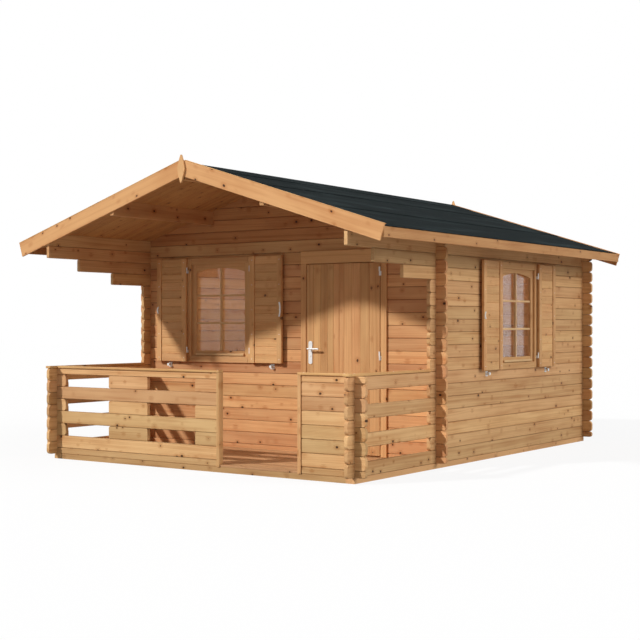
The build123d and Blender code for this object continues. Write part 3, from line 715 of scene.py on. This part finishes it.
class Joinery:
    """Collects bevelled boards, each with its own grain and number, into one piece."""

    BEVEL_LIMIT = 0.45
    FACE_TURN = ((-1, -1), (1, -1), (1, 1), (-1, 1))

    def __init__(self, name: str, first_board: int, place: Matrix = LEVEL) -> None:
        """Start an empty piece.

        Args:
            name: Name of the piece.
            first_board: Number of its first board, which sets the board's tone and figure.
            place: Frame of its boards.
        """
        self.name = name
        self.place = place
        self.shape = bmesh.new()
        self.grain = self.shape.verts.layers.float_vector.new("grain")
        self.number = self.shape.verts.layers.float.new("board")
        self.next_board = first_board

    def _vertex(self, local: Vector, centre: Vector, order: Sequence[int]) -> BMVert:
        """Add one vertex with its grain coordinates.

        Args:
            local: Place in the board's own frame.
            centre: Middle of the board.
            order: Axes along, across and through the board.

        Returns:
            The new vertex.
        """
        made = self.shape.verts.new(self.place @ local)
        from_centre = local - centre
        made[self.grain] = Vector([from_centre[axis] for axis in order])
        made[self.number] = self.next_board
        return made

    def board(self, low: Triple, high: Triple, run: Axis, bevel: float = FINE_BEVEL) -> None:
        """Add one board with bevelled edges.

        Args:
            low: Lowest corner in the board's frame.
            high: Highest corner in the board's frame.
            run: Direction of its grain.
            bevel: Width of the bevel.
        """
        bottom, top = Vector(low), Vector(high)
        centre, half = (bottom + top) / 2, (top - bottom) / 2
        cut = min(bevel, min(half) * self.BEVEL_LIMIT)
        others = sorted((axis for axis in range(3) if axis != run.value), key=lambda axis: -half[axis])
        order = [run.value, *others]
        corners: dict[tuple[int, ...], list[BMVert]] = {}
        for signs in itertools.product((-1, 1), repeat=3):
            corners[signs] = []
            for flush in range(3):
                reach = [half[axis] - (0 if axis == flush else cut) for axis in range(3)]
                local = centre + Vector([sign * length for sign, length in zip(signs, reach)])
                corners[signs].append(self._vertex(local, centre, order))

        def corner(axis: int, sign: int, turn: tuple[int, int]) -> list[BMVert]:
            """The three vertices of a corner, from its side on an axis and its sides on the other two."""
            return corners[(*turn[:axis], sign, *turn[axis:])]

        for axis in range(3):
            first, second = (other for other in range(3) if other != axis)
            for sign in (-1, 1):
                self.shape.faces.new([corner(axis, sign, turn)[axis] for turn in self.FACE_TURN])
            for turn in itertools.product((-1, 1), repeat=2):
                near, far = corner(axis, -1, turn), corner(axis, 1, turn)
                self.shape.faces.new((near[first], far[first], far[second], near[second]))
        for trio in corners.values():
            self.shape.faces.new(trio)
        self.next_board += 1

    def slab(self, outline: Sequence[tuple[float, float]], back: float, front: float) -> None:
        """Add one level board cut to an outline on the wall's face.

        Args:
            outline: Points along and up.
            back: Distance of the back face from the wall, outward.
            front: Distance of the front face from the wall, outward.
        """
        middle = sum((Vector(point) for point in outline), Vector((0, 0))) / len(outline)
        centre = Vector((middle.x, (back + front) / 2, middle.y))
        order = [Axis.ALONG.value, Axis.UP.value, Axis.OUT.value]
        rows = []
        for out in (back, front):
            points = [Vector((along, out, up)) for along, up in outline]
            rows.append([self._vertex(point, centre, order) for point in points])
        for row in rows:
            self.shape.faces.new(row)
        for index in range(len(outline)):
            after = (index + 1) % len(outline)
            self.shape.faces.new((rows[0][index], rows[0][after], rows[1][after], rows[1][index]))
        self.next_board += 1

    def done(self, finish: TimberFinish, body: str, *nodes: str) -> None:
        """Turn the boards into a piece that moves with a body and stands for frame nodes."""
        settle(self.name, self.shape, finish, body, *nodes)


class Heads:
    """Collects the domed heads of screws into one piece."""

    SEGMENTS = 12
    PROFILE = ((1.0, -0.4), (1.0, 0.35), (0.72, 0.8), (0.3, 1.0))

    def __init__(self, name: str) -> None:
        """Start an empty piece with a name."""
        self.name = name
        self.shape = bmesh.new()

    def head(self, point: Vector, outward: Vector, radius: float, height: float) -> None:
        """Add one head.

        Args:
            point: Middle of its foot.
            outward: Direction that it faces.
            radius: Radius of its rim.
            height: Height of its dome.
        """
        turn = outward.to_track_quat("Z", "Y").to_matrix()
        rings = []
        for share, lift in self.PROFILE:
            ring = []
            for step in range(self.SEGMENTS):
                angle = 2 * math.pi * step / self.SEGMENTS
                across, up = math.cos(angle) * radius * share, math.sin(angle) * radius * share
                local = Vector((across, up, lift * height))
                ring.append(self.shape.verts.new(point + turn @ local))
            rings.append(ring)
        for lower, upper in zip(rings, rings[1:]):
            for step in range(self.SEGMENTS):
                after = (step + 1) % self.SEGMENTS
                self.shape.faces.new((lower[step], lower[after], upper[after], upper[step]))
        self.shape.faces.new(rings[-1])
        self.shape.faces.new(rings[0])

    def done(self, body: str) -> None:
        """Turn the heads into a piece that moves with a body."""
        settle(self.name, self.shape, ZINC, body)


def settle(name: str, shape: BMesh, finish: Finish, body: str, *nodes: str) -> None:
    """Make an object from a shape, finish it and let it ride on a body.

    Args:
        name: Name of the object.
        shape: Its shape, which is freed.
        finish: Its finish.
        body: Body that it moves with.
        *nodes: Frame nodes that it stands for.
    """
    bmesh.ops.recalc_face_normals(shape, faces=shape.faces)
    mesh = bpy.data.meshes.new(name)
    shape.to_mesh(mesh)
    shape.free()
    piece = add_object(name, mesh)
    mesh.materials.append(finish.material())
    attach(piece, body)
    if nodes:
        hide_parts(*nodes)
    LOG.info("%s: %d faces on %s", name, len(mesh.polygons), body)


def wall_frame(origin: Triple, outward: tuple[int, int]) -> Matrix:
    """Frame on a wall's outer face: along the wall, outward from it, and up.

    Args:
        origin: Point on the face at ground level.
        outward: Direction that the wall faces.

    Returns:
        The frame's matrix.
    """
    along = Vector((-outward[1], outward[0], 0))
    out = Vector((outward[0], outward[1], 0))
    made = Matrix((along, out, UPWARD)).transposed().to_4x4()
    made.translation = Vector(origin)
    return made


FRONT_FACE = wall_frame((0.0, WALL_FACE_Y, 0.0), (0, -1))


@dataclass
class LogShell:
    """Walls, gables, railing logs, purlins, foundation, fittings and glass that keep their frame shapes."""

    nodes: dict[str, Object]

    def dress(self) -> None:
        """Give each node that keeps its shape its finish."""
        bargeboards = (f"{end}_{side}_bargeboard" for end in ("front", "rear") for side in ("left", "right"))
        fittings = (f"{name}_shutter_fittings" for name in SHUTTERS)
        finishes = {
            FRONT_LOGS: ("front_wall",),
            SHADED_GABLE_LOGS: ("front_gable",),
            REAR_LOGS: ("rear_wall", "rear_gable"),
            LEFT_LOGS: ("left_wall",),
            RIGHT_LOGS: ("right_wall",),
            RAILING_LOGS: ("front_railing_left", "front_railing_right"),
            PURLIN_TIMBER: ("purlins",),
            EAVE_TIMBER: ("eave_boards",),
            BEAM_TIMBER: ("foundation_beams",),
            UPRIGHT_TRIM: ("railing_posts", "front_finial", "rear_finial"),
            GABLE_TRIM: bargeboards,
            ZINC: (
                *("door_hinges", "door_hinge_pins", "door_handle", "shutter_hinge_pins", "shutter_holdbacks"),
                *fittings,
            ),
            GLASS: ("front_window_glass", "side_window_glass"),
        }
        for finish, names in finishes.items():
            for name in names:
                self.nodes[name].data.materials.clear()
                self.nodes[name].data.materials.append(finish.material())
                LOG.info("%s: %s", name, finish.name)


@dataclass
class Floors:
    """Boarded floors of the terrace and the room."""

    bottom: float = 0.050
    top: float = 0.068
    half_width: float = 1.749
    terrace_front: float = -2.3505
    terrace_back: float = -1.0385
    terrace_boards: int = 14
    terrace_first: int = 400
    entry_left: float = 0.339
    entry_right: float = 1.201
    room_front: float = -0.9845
    room_back: float = 2.3275
    room_boards: int = 36
    room_first: int = 440
    joint: float = 0.005
    room_joint: float = 0.0012

    def build(self) -> None:
        """Build both floors."""
        terrace = Joinery("terrace_boards", self.terrace_first)
        self._rows(terrace, self.terrace_front, self.terrace_back, self.terrace_boards, self.joint, BEVEL)
        terrace.board(
            (self.entry_left, TERRACE_Y, self.bottom),
            (self.entry_right, self.terrace_front - self.joint, self.top),
            Axis.ALONG,
            BEVEL,
        )
        terrace.done(FLOOR_TIMBER, CABIN_BODY, "terrace_floor")
        room = Joinery("room_boards", self.room_first)
        self._rows(room, self.room_front, self.room_back, self.room_boards, self.room_joint, FINE_BEVEL)
        room.done(FLOOR_TIMBER, CABIN_BODY, "cabin_floor")

    def _rows(self, made: Joinery, front: float, back: float, count: int, joint: float, bevel: float) -> None:
        """Lay boards side by side from the front to the back.

        Args:
            made: Piece that gets the boards.
            front: Front edge of the first board.
            back: Back edge of the last board, with its joint.
            count: Number of boards.
            joint: Width of the joints.
            bevel: Width of the boards' bevels.
        """
        step = (back - front) / count
        for row in range(count):
            near = front + row * step
            low = (-self.half_width, near, self.bottom)
            made.board(low, (self.half_width, near + step - joint, self.top), Axis.ALONG, bevel)


@dataclass
class Roof:
    """Roof boards from ridge to eaves and lapped strips of felt on them."""

    front: float = -2.5085
    rear: float = 2.5085
    eave_x: float = 2.1250
    eave_gap: float = 0.0004
    board_thickness: float = 0.018
    board_count: int = 53
    board_joint: float = 0.0008
    left_first: int = 500
    right_first: int = 560
    ridge_gap: float = 0.0006
    felt_thickness: float = 0.003
    felt_lift: float = 0.0182
    felt_joint: float = 0.0003
    felt_laps: tuple[float, ...] = (0.0, 0.62, 1.38, 2.2215)
    felt_setback: float = 0.006
    lap_reach: float = 0.09
    lap_rise: float = 0.15
    lap_gap: float = 0.0002
    ridge_strip: float = 0.26
    strip_rows: int = 10
    strip_columns: int = 64
    wave: float = 0.0010
    wave_count: int = 4
    wave_ranges: tuple[tuple[float, float], ...] = ((0, 6.28), (1.2, 4.0), (1.0, 5.0))
    wave_seed: int = 17
    verge_first: int = 600
    verge_low: float = 0.0415
    verge_high: float = 0.0475
    verge_front: float = -2.5295
    verge_back: float = -2.4960
    verge_start: float = 0.022
    verge_end: float = 2.2480

    def _slope_frame(self, side: int) -> Matrix:
        """Frame on one slope's underside: down the slope, along the ridge, and out of the roof."""
        down = Vector((side * math.cos(PITCH), 0, -math.sin(PITCH)))
        out = Vector((side * math.sin(PITCH), 0, math.cos(PITCH)))
        made = Matrix((down, Vector((0, 1, 0)), out)).transposed().to_4x4()
        made.translation = Vector((0, 0, APEX_Z))
        return made

    def build(self) -> None:
        """Build the boards and the felt of both slopes and the strips on the front bargeboards."""
        for side, name, first_board in ((-1, "left", self.left_first), (1, "right", self.right_first)):
            self._boards(side, name, first_board)
            self._felt(side, name)
        self._verge_strips()

    def _boards(self, side: int, name: str, first_board: int) -> None:
        """Build one slope's boards.

        Args:
            side: -1 for the left slope, 1 for the right one.
            name: Name of the slope.
            first_board: Number of its first board.
        """
        boards = Joinery(f"{name}_slope_boards", first_board, self._slope_frame(side))
        step = (self.rear - self.front) / self.board_count
        eave = (self.eave_x - self.board_thickness * math.sin(PITCH)) / math.cos(PITCH) - self.eave_gap
        for row in range(self.board_count):
            near = self.front + row * step
            high = (eave, near + step - self.board_joint, self.board_thickness)
            boards.board((self.ridge_gap, near, 0.0), high, Axis.ALONG, BEVEL)
        boards.done(SHADED_ROOF_TIMBER, CABIN_BODY, f"{name}_roof_boards")

    def _verge_strips(self) -> None:
        """Build the thin strips that cover the tops of the front bargeboards."""
        strips = Joinery("front_verge_strips", self.verge_first)
        for side in (-1, 1):
            strips.place = self._slope_frame(side)
            low = (self.verge_start, self.verge_front, self.verge_low)
            strips.board(low, (self.verge_end, self.verge_back, self.verge_high), Axis.ALONG)
        strips.done(CAP_TIMBER, CABIN_BODY)

    def _felt(self, side: int, name: str) -> None:
        """Build one slope's felt from lapped strips and a strip along the ridge.

        Args:
            side: -1 for the left slope, 1 for the right one.
            name: Name of the slope.
        """
        place = self._slope_frame(side)
        shape = bmesh.new()
        chance = random.Random(self.wave_seed + side)
        for start, end in zip(self.felt_laps, self.felt_laps[1:]):
            lower = end - self.felt_setback if end == self.felt_laps[-1] else end + self.lap_reach
            self._strip(shape, place, start, lower, end, chance)
        self._strip(shape, place, 0.0, self.ridge_strip, 0.0, chance)
        settle(f"{name}_felt_strips", shape, FELT, CABIN_BODY, f"{name}_roof_felt")

    def _ridge_edge(self, height: float) -> float:
        """Place down the slope at which a height above the boards' underside meets the other slope."""
        return (self.felt_joint - height * math.sin(PITCH)) / math.cos(PITCH)

    def _strip(
        self, shape: BMesh, place: Matrix, start: float, end: float, lap: float, chance: random.Random
    ) -> None:
        """Add one strip of felt, raised where it laps over the strip below.

        Args:
            shape: Shape that gets the strip.
            place: Frame of the slope.
            start: Upper edge, down the slope.
            end: Lower edge, down the slope.
            lap: Where the strip below begins.
            chance: Source of the strip's slight waves.
        """
        rows, columns = self.strip_rows, self.strip_columns
        waves = [[chance.uniform(*reach) for reach in self.wave_ranges] for _ in range(self.wave_count)]

        def surface(down: float, along: float) -> float:
            """Height of the strip's underside above the boards' underside."""
            share = max(0.0, min(1.0, (down - lap + self.lap_rise) / self.lap_rise))
            wave = sum(math.sin(phase + down * fast + along * slow) for phase, fast, slow in waves)
            raised = share * (self.felt_thickness + self.lap_gap)
            return self.felt_lift + raised + self.wave * (0.5 + 0.5 * wave / self.wave_count)

        grids: list[list[list[BMVert]]] = []
        for lift in (0.0, self.felt_thickness):
            grid = []
            for row in range(rows + 1):
                down = start + (end - start) * row / rows
                line = []
                for column in range(columns + 1):
                    along = self.front + (self.rear - self.front) * column / columns
                    height = surface(down, along) + lift
                    reach = self._ridge_edge(height) if down == 0.0 else down
                    line.append(shape.verts.new(place @ Vector((reach, along, height))))
                grid.append(line)
            grids.append(grid)
        for row, column, grid in itertools.product(range(rows), range(columns), grids):
            upper, lower = grid[row], grid[row + 1]
            shape.faces.new((upper[column], upper[column + 1], lower[column + 1], lower[column]))
        edges = [(row, column, row, column + 1) for row in (0, rows) for column in range(columns)]
        edges += [(row, column, row + 1, column) for column in (0, columns) for row in range(rows)]
        bottom, top = grids
        for row, column, next_row, next_column in edges:
            near = (bottom[row][column], bottom[next_row][next_column])
            shape.faces.new((*near, top[next_row][next_column], top[row][column]))


@dataclass
class RailingCaps:
    """Cap boards on the terrace railings, screwed down."""

    first_board: int = 620
    bottom: float = 0.897
    top: float = 0.919
    outer_x: float = 1.801
    width: float = 0.066
    front_y: float = -2.4125
    entry_left: float = 0.337
    entry_right: float = 1.203
    side_front: float = -2.5045
    side_back: float = -1.1448
    front_screws: tuple[float, ...] = (-1.67, -1.10, -0.50, 0.10, 0.29, 1.25, 1.67)
    side_screws: tuple[float, ...] = (-2.38, -1.75, -1.24)
    screw_radius: float = 0.005
    screw_height: float = 0.0016

    def build(self) -> None:
        """Build the caps and their screws."""
        caps = Joinery("railing_cap_boards", self.first_board)
        inner_x = self.outer_x - self.width
        front_end = inner_x - FIT
        for left, right in ((-front_end, self.entry_left), (self.entry_right, front_end)):
            high = (right, self.front_y + self.width, self.top)
            caps.board((left, self.front_y, self.bottom), high, Axis.ALONG, ROUND_BEVEL)
        for left, right in ((-self.outer_x, -inner_x), (inner_x, self.outer_x)):
            high = (right, self.side_back, self.top)
            caps.board((left, self.side_front, self.bottom), high, Axis.OUT, ROUND_BEVEL)
        caps.done(CAP_TIMBER, CABIN_BODY, "railing_caps")
        screws = Heads("railing_cap_screws")
        middle_x = self.outer_x - self.width / 2
        places = [(x, self.front_y + self.width / 2) for x in self.front_screws]
        places += [(side * middle_x, y) for side in (-1, 1) for y in self.side_screws]
        for x, y in places:
            screws.head(Vector((x, y, self.top)), UPWARD, self.screw_radius, self.screw_height)
        screws.done(CABIN_BODY)


@dataclass
class Door:
    """Plank door with its frame, casing and screws."""

    frame_first: int = 640
    leaf_first: int = 660
    left: float = 0.338
    width: float = 0.850
    bottom: float = 0.082
    top: float = 1.920
    thickness: float = 0.040
    gap: float = 0.007
    jamb: float = 0.032
    jamb_depth: float = 0.050
    floor: float = 0.050
    threshold: float = 0.025
    casing: float = 0.067
    head_casing: float = 0.125
    casing_front: float = 0.020
    casing_bottom: float = 0.070
    stop_width: float = 0.022
    stop_depth: float = 0.020
    stop_gap: float = 0.005
    plank_shares: tuple[float, ...] = (0.0, 0.095, 0.20, 0.294, 0.376, 0.458, 0.52, 0.628, 0.738, 0.864, 1.0)
    plank_bevel: float = 0.0022
    plate_x: float = 0.386
    plate_thickness: float = 0.006
    plate_screws: tuple[float, ...] = (0.958, 1.150)
    screw_size: tuple[float, float] = (0.004, 0.0016)
    key_z: float = 1.018
    key_size: tuple[float, float] = (0.009, 0.0040)

    def build(self) -> None:
        """Build the frame, the leaf and the screws."""
        self._frame()
        self._leaf()
        self._screws()

    def _frame(self) -> None:
        """Build jambs, head, threshold, stops and casing."""
        frame = Joinery("door_frame_boards", self.frame_first, FRONT_FACE)
        left, right = self.left - self.gap, self.left + self.width + self.gap
        head = self.top + self.gap
        under_head = head - FIT
        back = -self.jamb_depth
        for edge in (left - self.jamb, right):
            frame.board((edge, back, self.floor), (edge + self.jamb, 0.0, under_head), Axis.UP)
        frame.board((left - self.jamb, back, head), (right + self.jamb, 0.0, head + self.jamb), Axis.ALONG)
        sill_top = self.floor + self.threshold
        frame.board((left + FIT, back, self.floor), (right - FIT, 0.0, sill_top), Axis.ALONG)
        stop_front = self.casing_front - self.thickness - self.stop_gap
        stop_back = stop_front - self.stop_depth
        stop_top = head - self.stop_width - FIT
        for edge in (left + FIT, right - FIT - self.stop_width):
            high = (edge + self.stop_width, stop_front, stop_top - FIT)
            frame.board((edge, stop_back, sill_top + FIT), high, Axis.UP)
        frame.board((left + FIT, stop_back, stop_top), (right - FIT, stop_front, under_head), Axis.ALONG)
        for edge in (left - self.casing, right):
            high = (edge + self.casing, self.casing_front, under_head)
            frame.board((edge, FIT, self.casing_bottom), high, Axis.UP, BEVEL)
        high = (right + self.casing, self.casing_front, head + self.head_casing)
        frame.board((left - self.casing, FIT, head), high, Axis.ALONG, BEVEL)
        frame.done(DOOR_TIMBER, CABIN_BODY, "door_frame")

    def _leaf(self) -> None:
        """Build the leaf from upright planks."""
        leaf = Joinery("door_planks", self.leaf_first, FRONT_FACE)
        edges = [self.left + self.width * share for share in self.plank_shares]
        for start, end in zip(edges, edges[1:]):
            low = (start, self.casing_front - self.thickness, self.bottom)
            leaf.board(low, (end - FIT, self.casing_front, self.top), Axis.UP, self.plank_bevel)
        leaf.done(DOOR_TIMBER, DOOR_BODY, "door_leaf")

    def _screws(self) -> None:
        """Build the screws of the handle plate and the key plate below the lever."""
        screws = Heads("door_handle_screws")
        heads = [(up, self.screw_size) for up in self.plate_screws]
        for up, size in (*heads, (self.key_z, self.key_size)):
            foot = Vector((self.plate_x, self.casing_front + self.plate_thickness, up))
            screws.head(FRONT_FACE @ foot, FRONT, *size)
        screws.done(DOOR_BODY)


@dataclass
class Window:
    """Window with its frame, casing, arched sash and bars."""

    name: str
    place: Matrix
    sill: float
    frame_first: int
    sash_offset: int = 10
    bars_offset: int = 20
    opening_half: float = 0.3995
    opening_low: float = 0.0005
    opening_high: float = 1.0445
    jamb: float = 0.028
    jamb_depth: float = 0.050
    casing_half: float = 0.443
    casing_low: float = -0.022
    casing_high: float = 1.067
    casing_width: float = 0.065
    casing_front: float = 0.020
    sash_front: float = -0.002
    sash_back: float = -0.036
    stile: float = 0.0485
    bottom_rail: float = 0.0705
    top_rail: float = 0.0565
    arch_rise: float = 0.043
    arch_steps: int = 16
    bar: float = 0.020
    bar_front: float = -0.010
    bar_shares: tuple[float, ...] = (1 / 3, 2 / 3)
    weather_low: float = 0.020
    weather_high: float = 0.044
    weather_front: float = 0.018

    def build(self) -> None:
        """Build the frame, the sash and the bars."""
        self._frame()
        half = self.opening_half - self.jamb - FIT
        low = self.sill + self.opening_low + self.jamb + FIT
        high = self.sill + self.opening_high - self.jamb - FIT
        self._sash(half, low, high)
        self._bars(half - self.stile - FIT, low, high)

    def _around(
        self, made: Joinery, half: float, edges: tuple[float, float], width: float, back: float, front: float
    ) -> None:
        """Add four bars around an opening.

        Args:
            made: Piece that gets the bars.
            half: Half of the outer width.
            edges: Lower and upper outer edge above the sill.
            width: Width of the bars.
            back: Back face, outward from the wall.
            front: Front face, outward from the wall.
        """
        low, high = (self.sill + edge for edge in edges)
        for start in (-half, half - width):
            made.board((start, back, low), (start + width, front, high), Axis.UP, BEVEL)
        reach = half - width - FIT
        for start in (low, high - width):
            made.board((-reach, back, start), (reach, front, start + width), Axis.ALONG, BEVEL)

    def _frame(self) -> None:
        """Build the lining and the casing."""
        frame = Joinery(f"{self.name}_frame_boards", self.frame_first, self.place)
        lining = (self.opening_low, self.opening_high)
        self._around(frame, self.opening_half, lining, self.jamb, -self.jamb_depth, 0.0)
        casing = (self.casing_low, self.casing_high)
        self._around(frame, self.casing_half, casing, self.casing_width, FIT, self.casing_front)
        frame.done(WINDOW_TIMBER, CABIN_BODY, f"{self.name}_frame")

    def _sash(self, half: float, low: float, high: float) -> None:
        """Build the sash with the arched top rail.

        Args:
            half: Half of its width.
            low: Its lower edge.
            high: Its upper edge.
        """
        sash = Joinery(f"{self.name}_sash_boards", self.frame_first + self.sash_offset, self.place)
        for start in (-half, half - self.stile):
            stile_high = (start + self.stile, self.sash_front, high)
            sash.board((start, self.sash_back, low), stile_high, Axis.UP, BEVEL)
        reach = half - self.stile - FIT
        rail_high = (reach, self.sash_front, low + self.bottom_rail)
        sash.board((-reach, self.sash_back, low), rail_high, Axis.ALONG, BEVEL)
        spring = high - self.top_rail - self.arch_rise
        radius = (reach**2 + self.arch_rise**2) / (2 * self.arch_rise)
        outline = [(reach, high), (-reach, high)]
        for step in range(self.arch_steps + 1):
            along = -reach + 2 * reach * step / self.arch_steps
            rise = math.sqrt(radius**2 - along**2) - (radius - self.arch_rise)
            outline.append((along, spring + rise))
        sash.slab(outline, self.sash_back, self.sash_front)
        sash.done(WINDOW_TIMBER, CABIN_BODY, f"{self.name}_sash")

    def _bars(self, reach: float, low: float, high: float) -> None:
        """Build the upright bar, the cross bars and the weather board in front of the glass.

        Args:
            reach: Half of the width between the stiles.
            low: Lower edge of the sash.
            high: Upper edge of the sash.
        """
        bars = Joinery(f"{self.name}_bars", self.frame_first + self.bars_offset, self.place)
        half = self.bar / 2
        pane_low, pane_high = low + self.bottom_rail, high - self.top_rail
        bars.board((-half, self.sash_back, pane_low), (half, self.bar_front, pane_high - FIT), Axis.UP)
        for share in self.bar_shares:
            middle = pane_low + (pane_high - pane_low) * share
            for start, end in ((-reach, -half - FIT), (half + FIT, reach)):
                bar_high = (end, self.bar_front, middle + half)
                bars.board((start, self.sash_back, middle - half), bar_high, Axis.ALONG)
        board_low = (-reach, self.sash_front + FIT, low + self.weather_low)
        board_high = (reach, self.weather_front, low + self.weather_high)
        bars.board(board_low, board_high, Axis.ALONG, ROUND_BEVEL)
        bars.done(BAR_TIMBER, CABIN_BODY)


@dataclass
class Shutter:
    """Shutter of level boards between two stiles."""

    name: str
    place: Matrix
    sill: float
    side: int
    first_board: int
    near: float = 0.425
    far: float = 0.8325
    low: float = -0.019
    height: float = 1.085
    back: float = 0.026
    front: float = 0.054
    panel_front: float = 0.046
    stile: float = 0.062
    boards: int = 13
    screw_every: int = 3
    screw_radius: float = 0.004
    screw_height: float = 0.0014

    def build(self) -> None:
        """Build the stiles, the boards between them and the screws."""
        body = f"{self.name}_shutter"
        leaf = Joinery(f"{body}_boards", self.first_board, self.place)
        low = self.sill + self.low
        for start in (self.near, self.far - self.stile):
            box = self._box(start, start + self.stile, low, low + self.height, self.front)
            leaf.board(*box, Axis.UP, BEVEL)
        step = self.height / self.boards
        inner = (self.near + self.stile + FIT, self.far - self.stile - FIT)
        for row in range(self.boards):
            start = low + row * step
            box = self._box(*inner, start, start + step - FIT, self.panel_front)
            leaf.board(*box, Axis.ALONG, ROUND_BEVEL)
        leaf.done(SHUTTER_TIMBER, body, body)
        screws = Heads(f"{body}_screws")
        outward = (self.place.to_3x3() @ Vector((0, 1, 0))).normalized()
        for edge in (self.near + self.stile / 2, self.far - self.stile / 2):
            for row in range(0, self.boards, self.screw_every):
                foot = Vector((self.side * edge, self.front, low + (row + 0.5) * step))
                screws.head(self.place @ foot, outward, self.screw_radius, self.screw_height)
        screws.done(body)

    def _box(self, start: float, end: float, low: float, high: float, front: float) -> tuple[Triple, Triple]:
        """Corners of a board beside the window, on the shutter's own side."""
        first, last = sorted((self.side * start, self.side * end))
        return (first, self.back, low), (last, front, high)


@dataclass
class Studio:
    """Camera, sun, sky and pale floor."""

    camera_place: Triple = (7.5399, -11.1448, 1.3361)
    camera_turn: float = 34.916
    sensor_width: float = 36.0
    lens: float = 70.71
    shift_y: float = 0.006
    sun_way: Triple = (0.96, 1.47, -1.13)
    sun_strength: float = 2.75
    sun_angle: float = 3.0
    fill_way: Triple = (-0.92, -0.25, -0.5)
    fill_strength: float = 1.5
    fill_angle: float = 40.0
    sky_strength: float = 0.31
    room_place: Triple = (0.0, 0.5, 1.5)
    room_power: float = 36.0
    room_radius: float = 0.5
    floor_size: float = 120.0
    floor_bounce: float = 0.35
    floor_seen: float = 0.95
    floor_roughness: float = 0.9
    glow_share: float = 0.88

    def build(self) -> None:
        """Build the camera, the lights and the floor."""
        bpy.context.scene.view_settings.view_transform = "Standard"
        self._camera()
        self._far_lamp("sun", self.sun_way, self.sun_strength, self.sun_angle)
        self._far_lamp("fill", self.fill_way, self.fill_strength, self.fill_angle)
        self._room_lamp()
        self._sky()
        self._floor()

    def _camera(self) -> None:
        """Set the camera where the cabin is seen from its front right corner."""
        lens = bpy.data.cameras.new("viewpoint")
        lens.sensor_fit = "HORIZONTAL"
        lens.sensor_width = self.sensor_width
        lens.lens = self.lens
        lens.shift_y = self.shift_y
        camera = add_object("viewpoint", lens)
        camera.location = self.camera_place
        camera.rotation_euler = (math.pi / 2, 0.0, math.radians(self.camera_turn))
        bpy.context.scene.camera = camera

    @staticmethod
    def _far_lamp(name: str, way: Triple, strength: float, angle: float) -> None:
        """Add a lamp that is far away.

        Args:
            name: Name of the lamp.
            way: Direction in which its light travels.
            strength: Its strength.
            angle: Its apparent width in degrees.
        """
        lamp = bpy.data.lights.new(name, "SUN")
        lamp.energy = strength
        lamp.angle = math.radians(angle)
        add_object(name, lamp).rotation_euler = Vector(way).to_track_quat("-Z", "Y").to_euler()

    def _room_lamp(self) -> None:
        """Light the room softly, so that its walls show through the windows."""
        lamp = bpy.data.lights.new("room lamp", "POINT")
        lamp.energy = self.room_power
        lamp.shadow_soft_size = self.room_radius
        placed = add_object("room lamp", lamp)
        placed.location = self.room_place
        placed.visible_camera = placed.visible_glossy = placed.visible_transmission = False

    @staticmethod
    def _seen(graph: Graph) -> NodeSocket:
        """Share that is 1 for rays that show the background and 0 for rays that light."""
        path = graph.node("ShaderNodeLightPath").outputs
        seen = graph.math("ADD", path["Is Camera Ray"], path["Is Glossy Ray"], clamp=True)
        return graph.math("ADD", seen, path["Is Transmission Ray"], clamp=True)

    def _sky(self) -> None:
        """Make a white surround that lights from all sides."""
        world = bpy.data.worlds.new("white surround")
        world.use_nodes = True
        bpy.context.scene.world = world
        graph = Graph(world.node_tree)
        strength = graph.scaled(self._seen(graph), 1.0 - self.sky_strength, self.sky_strength)
        graph.fill(world.node_tree.nodes["Background"], {"Color": (1.0, 1.0, 1.0, 1.0), "Strength": strength})

    def _floor(self) -> None:
        """Lay a pale floor that keeps the cabin's shadow."""
        half = self.floor_size / 2
        corners = [(-half, -half, 0), (half, -half, 0), (half, half, 0), (-half, half, 0)]
        mesh = bpy.data.meshes.new("studio_floor")
        mesh.from_pydata(corners, [], [(0, 1, 2, 3)])
        floor = add_object("studio_floor", mesh)
        made, graph, shader = new_material("pale floor")
        seen = self._seen(graph)
        bounce, bright = ((level, level, level, 1.0) for level in (self.floor_bounce, self.floor_seen))
        graph.fill(shader, {"Base Color": graph.mix(seen, bounce, bright), "Roughness": self.floor_roughness})
        glow = graph.node("ShaderNodeEmission").outputs[0]
        share = graph.times(seen, self.glow_share)
        blend = graph.fill(graph.node("ShaderNodeMixShader"), {0: share, 1: shader.outputs[0], 2: glow})
        graph.feed(made.node_tree.nodes["Material Output"].inputs["Surface"], blend.outputs[0])
        mesh.materials.append(made)
        floor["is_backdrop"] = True


def write_sizes(before: tuple[Vector, Vector], after: tuple[Vector, Vector]) -> None:
    """Gather the frame's box and the dressed cabin's box into a table, which is not written anywhere.

    Args:
        before: Corners of the frame's box.
        after: Corners of the dressed cabin's box.
    """
    sizes = {
        "cad": [list(corner) for corner in before],
        "visual": [list(corner) for corner in after],
    }


def main() -> None:
    """Load the frame, then build and dress each part of the cabin."""
    logging.basicConfig(level=logging.INFO, format="%(message)s")
    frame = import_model()
    frame_box = tuple(corner.copy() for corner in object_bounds())
    Studio().build()
    LogShell(frame["nodes"]).dress()
    Floors().build()
    Roof().build()
    RailingCaps().build()
    Door().build()
    front = wall_frame((FRONT_WINDOW_X, WALL_FACE_Y, 0.0), (0, -1))
    side = wall_frame((SIDE_FACE_X, SIDE_WINDOW_Y, 0.0), (1, 0))
    Window("front_window", front, FRONT_SILL, frame_first=700).build()
    Window("side_window", side, SIDE_SILL, frame_first=740).build()
    walls = ((front, FRONT_SILL, -1), (front, FRONT_SILL, 1), (side, SIDE_SILL, -1), (side, SIDE_SILL, 1))
    for name, wall, first_board in zip(SHUTTERS, walls, (800, 830, 860, 890)):
        Shutter(name, *wall, first_board).build()
    write_sizes(frame_box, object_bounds())


if __name__ == "__main__":
    main()
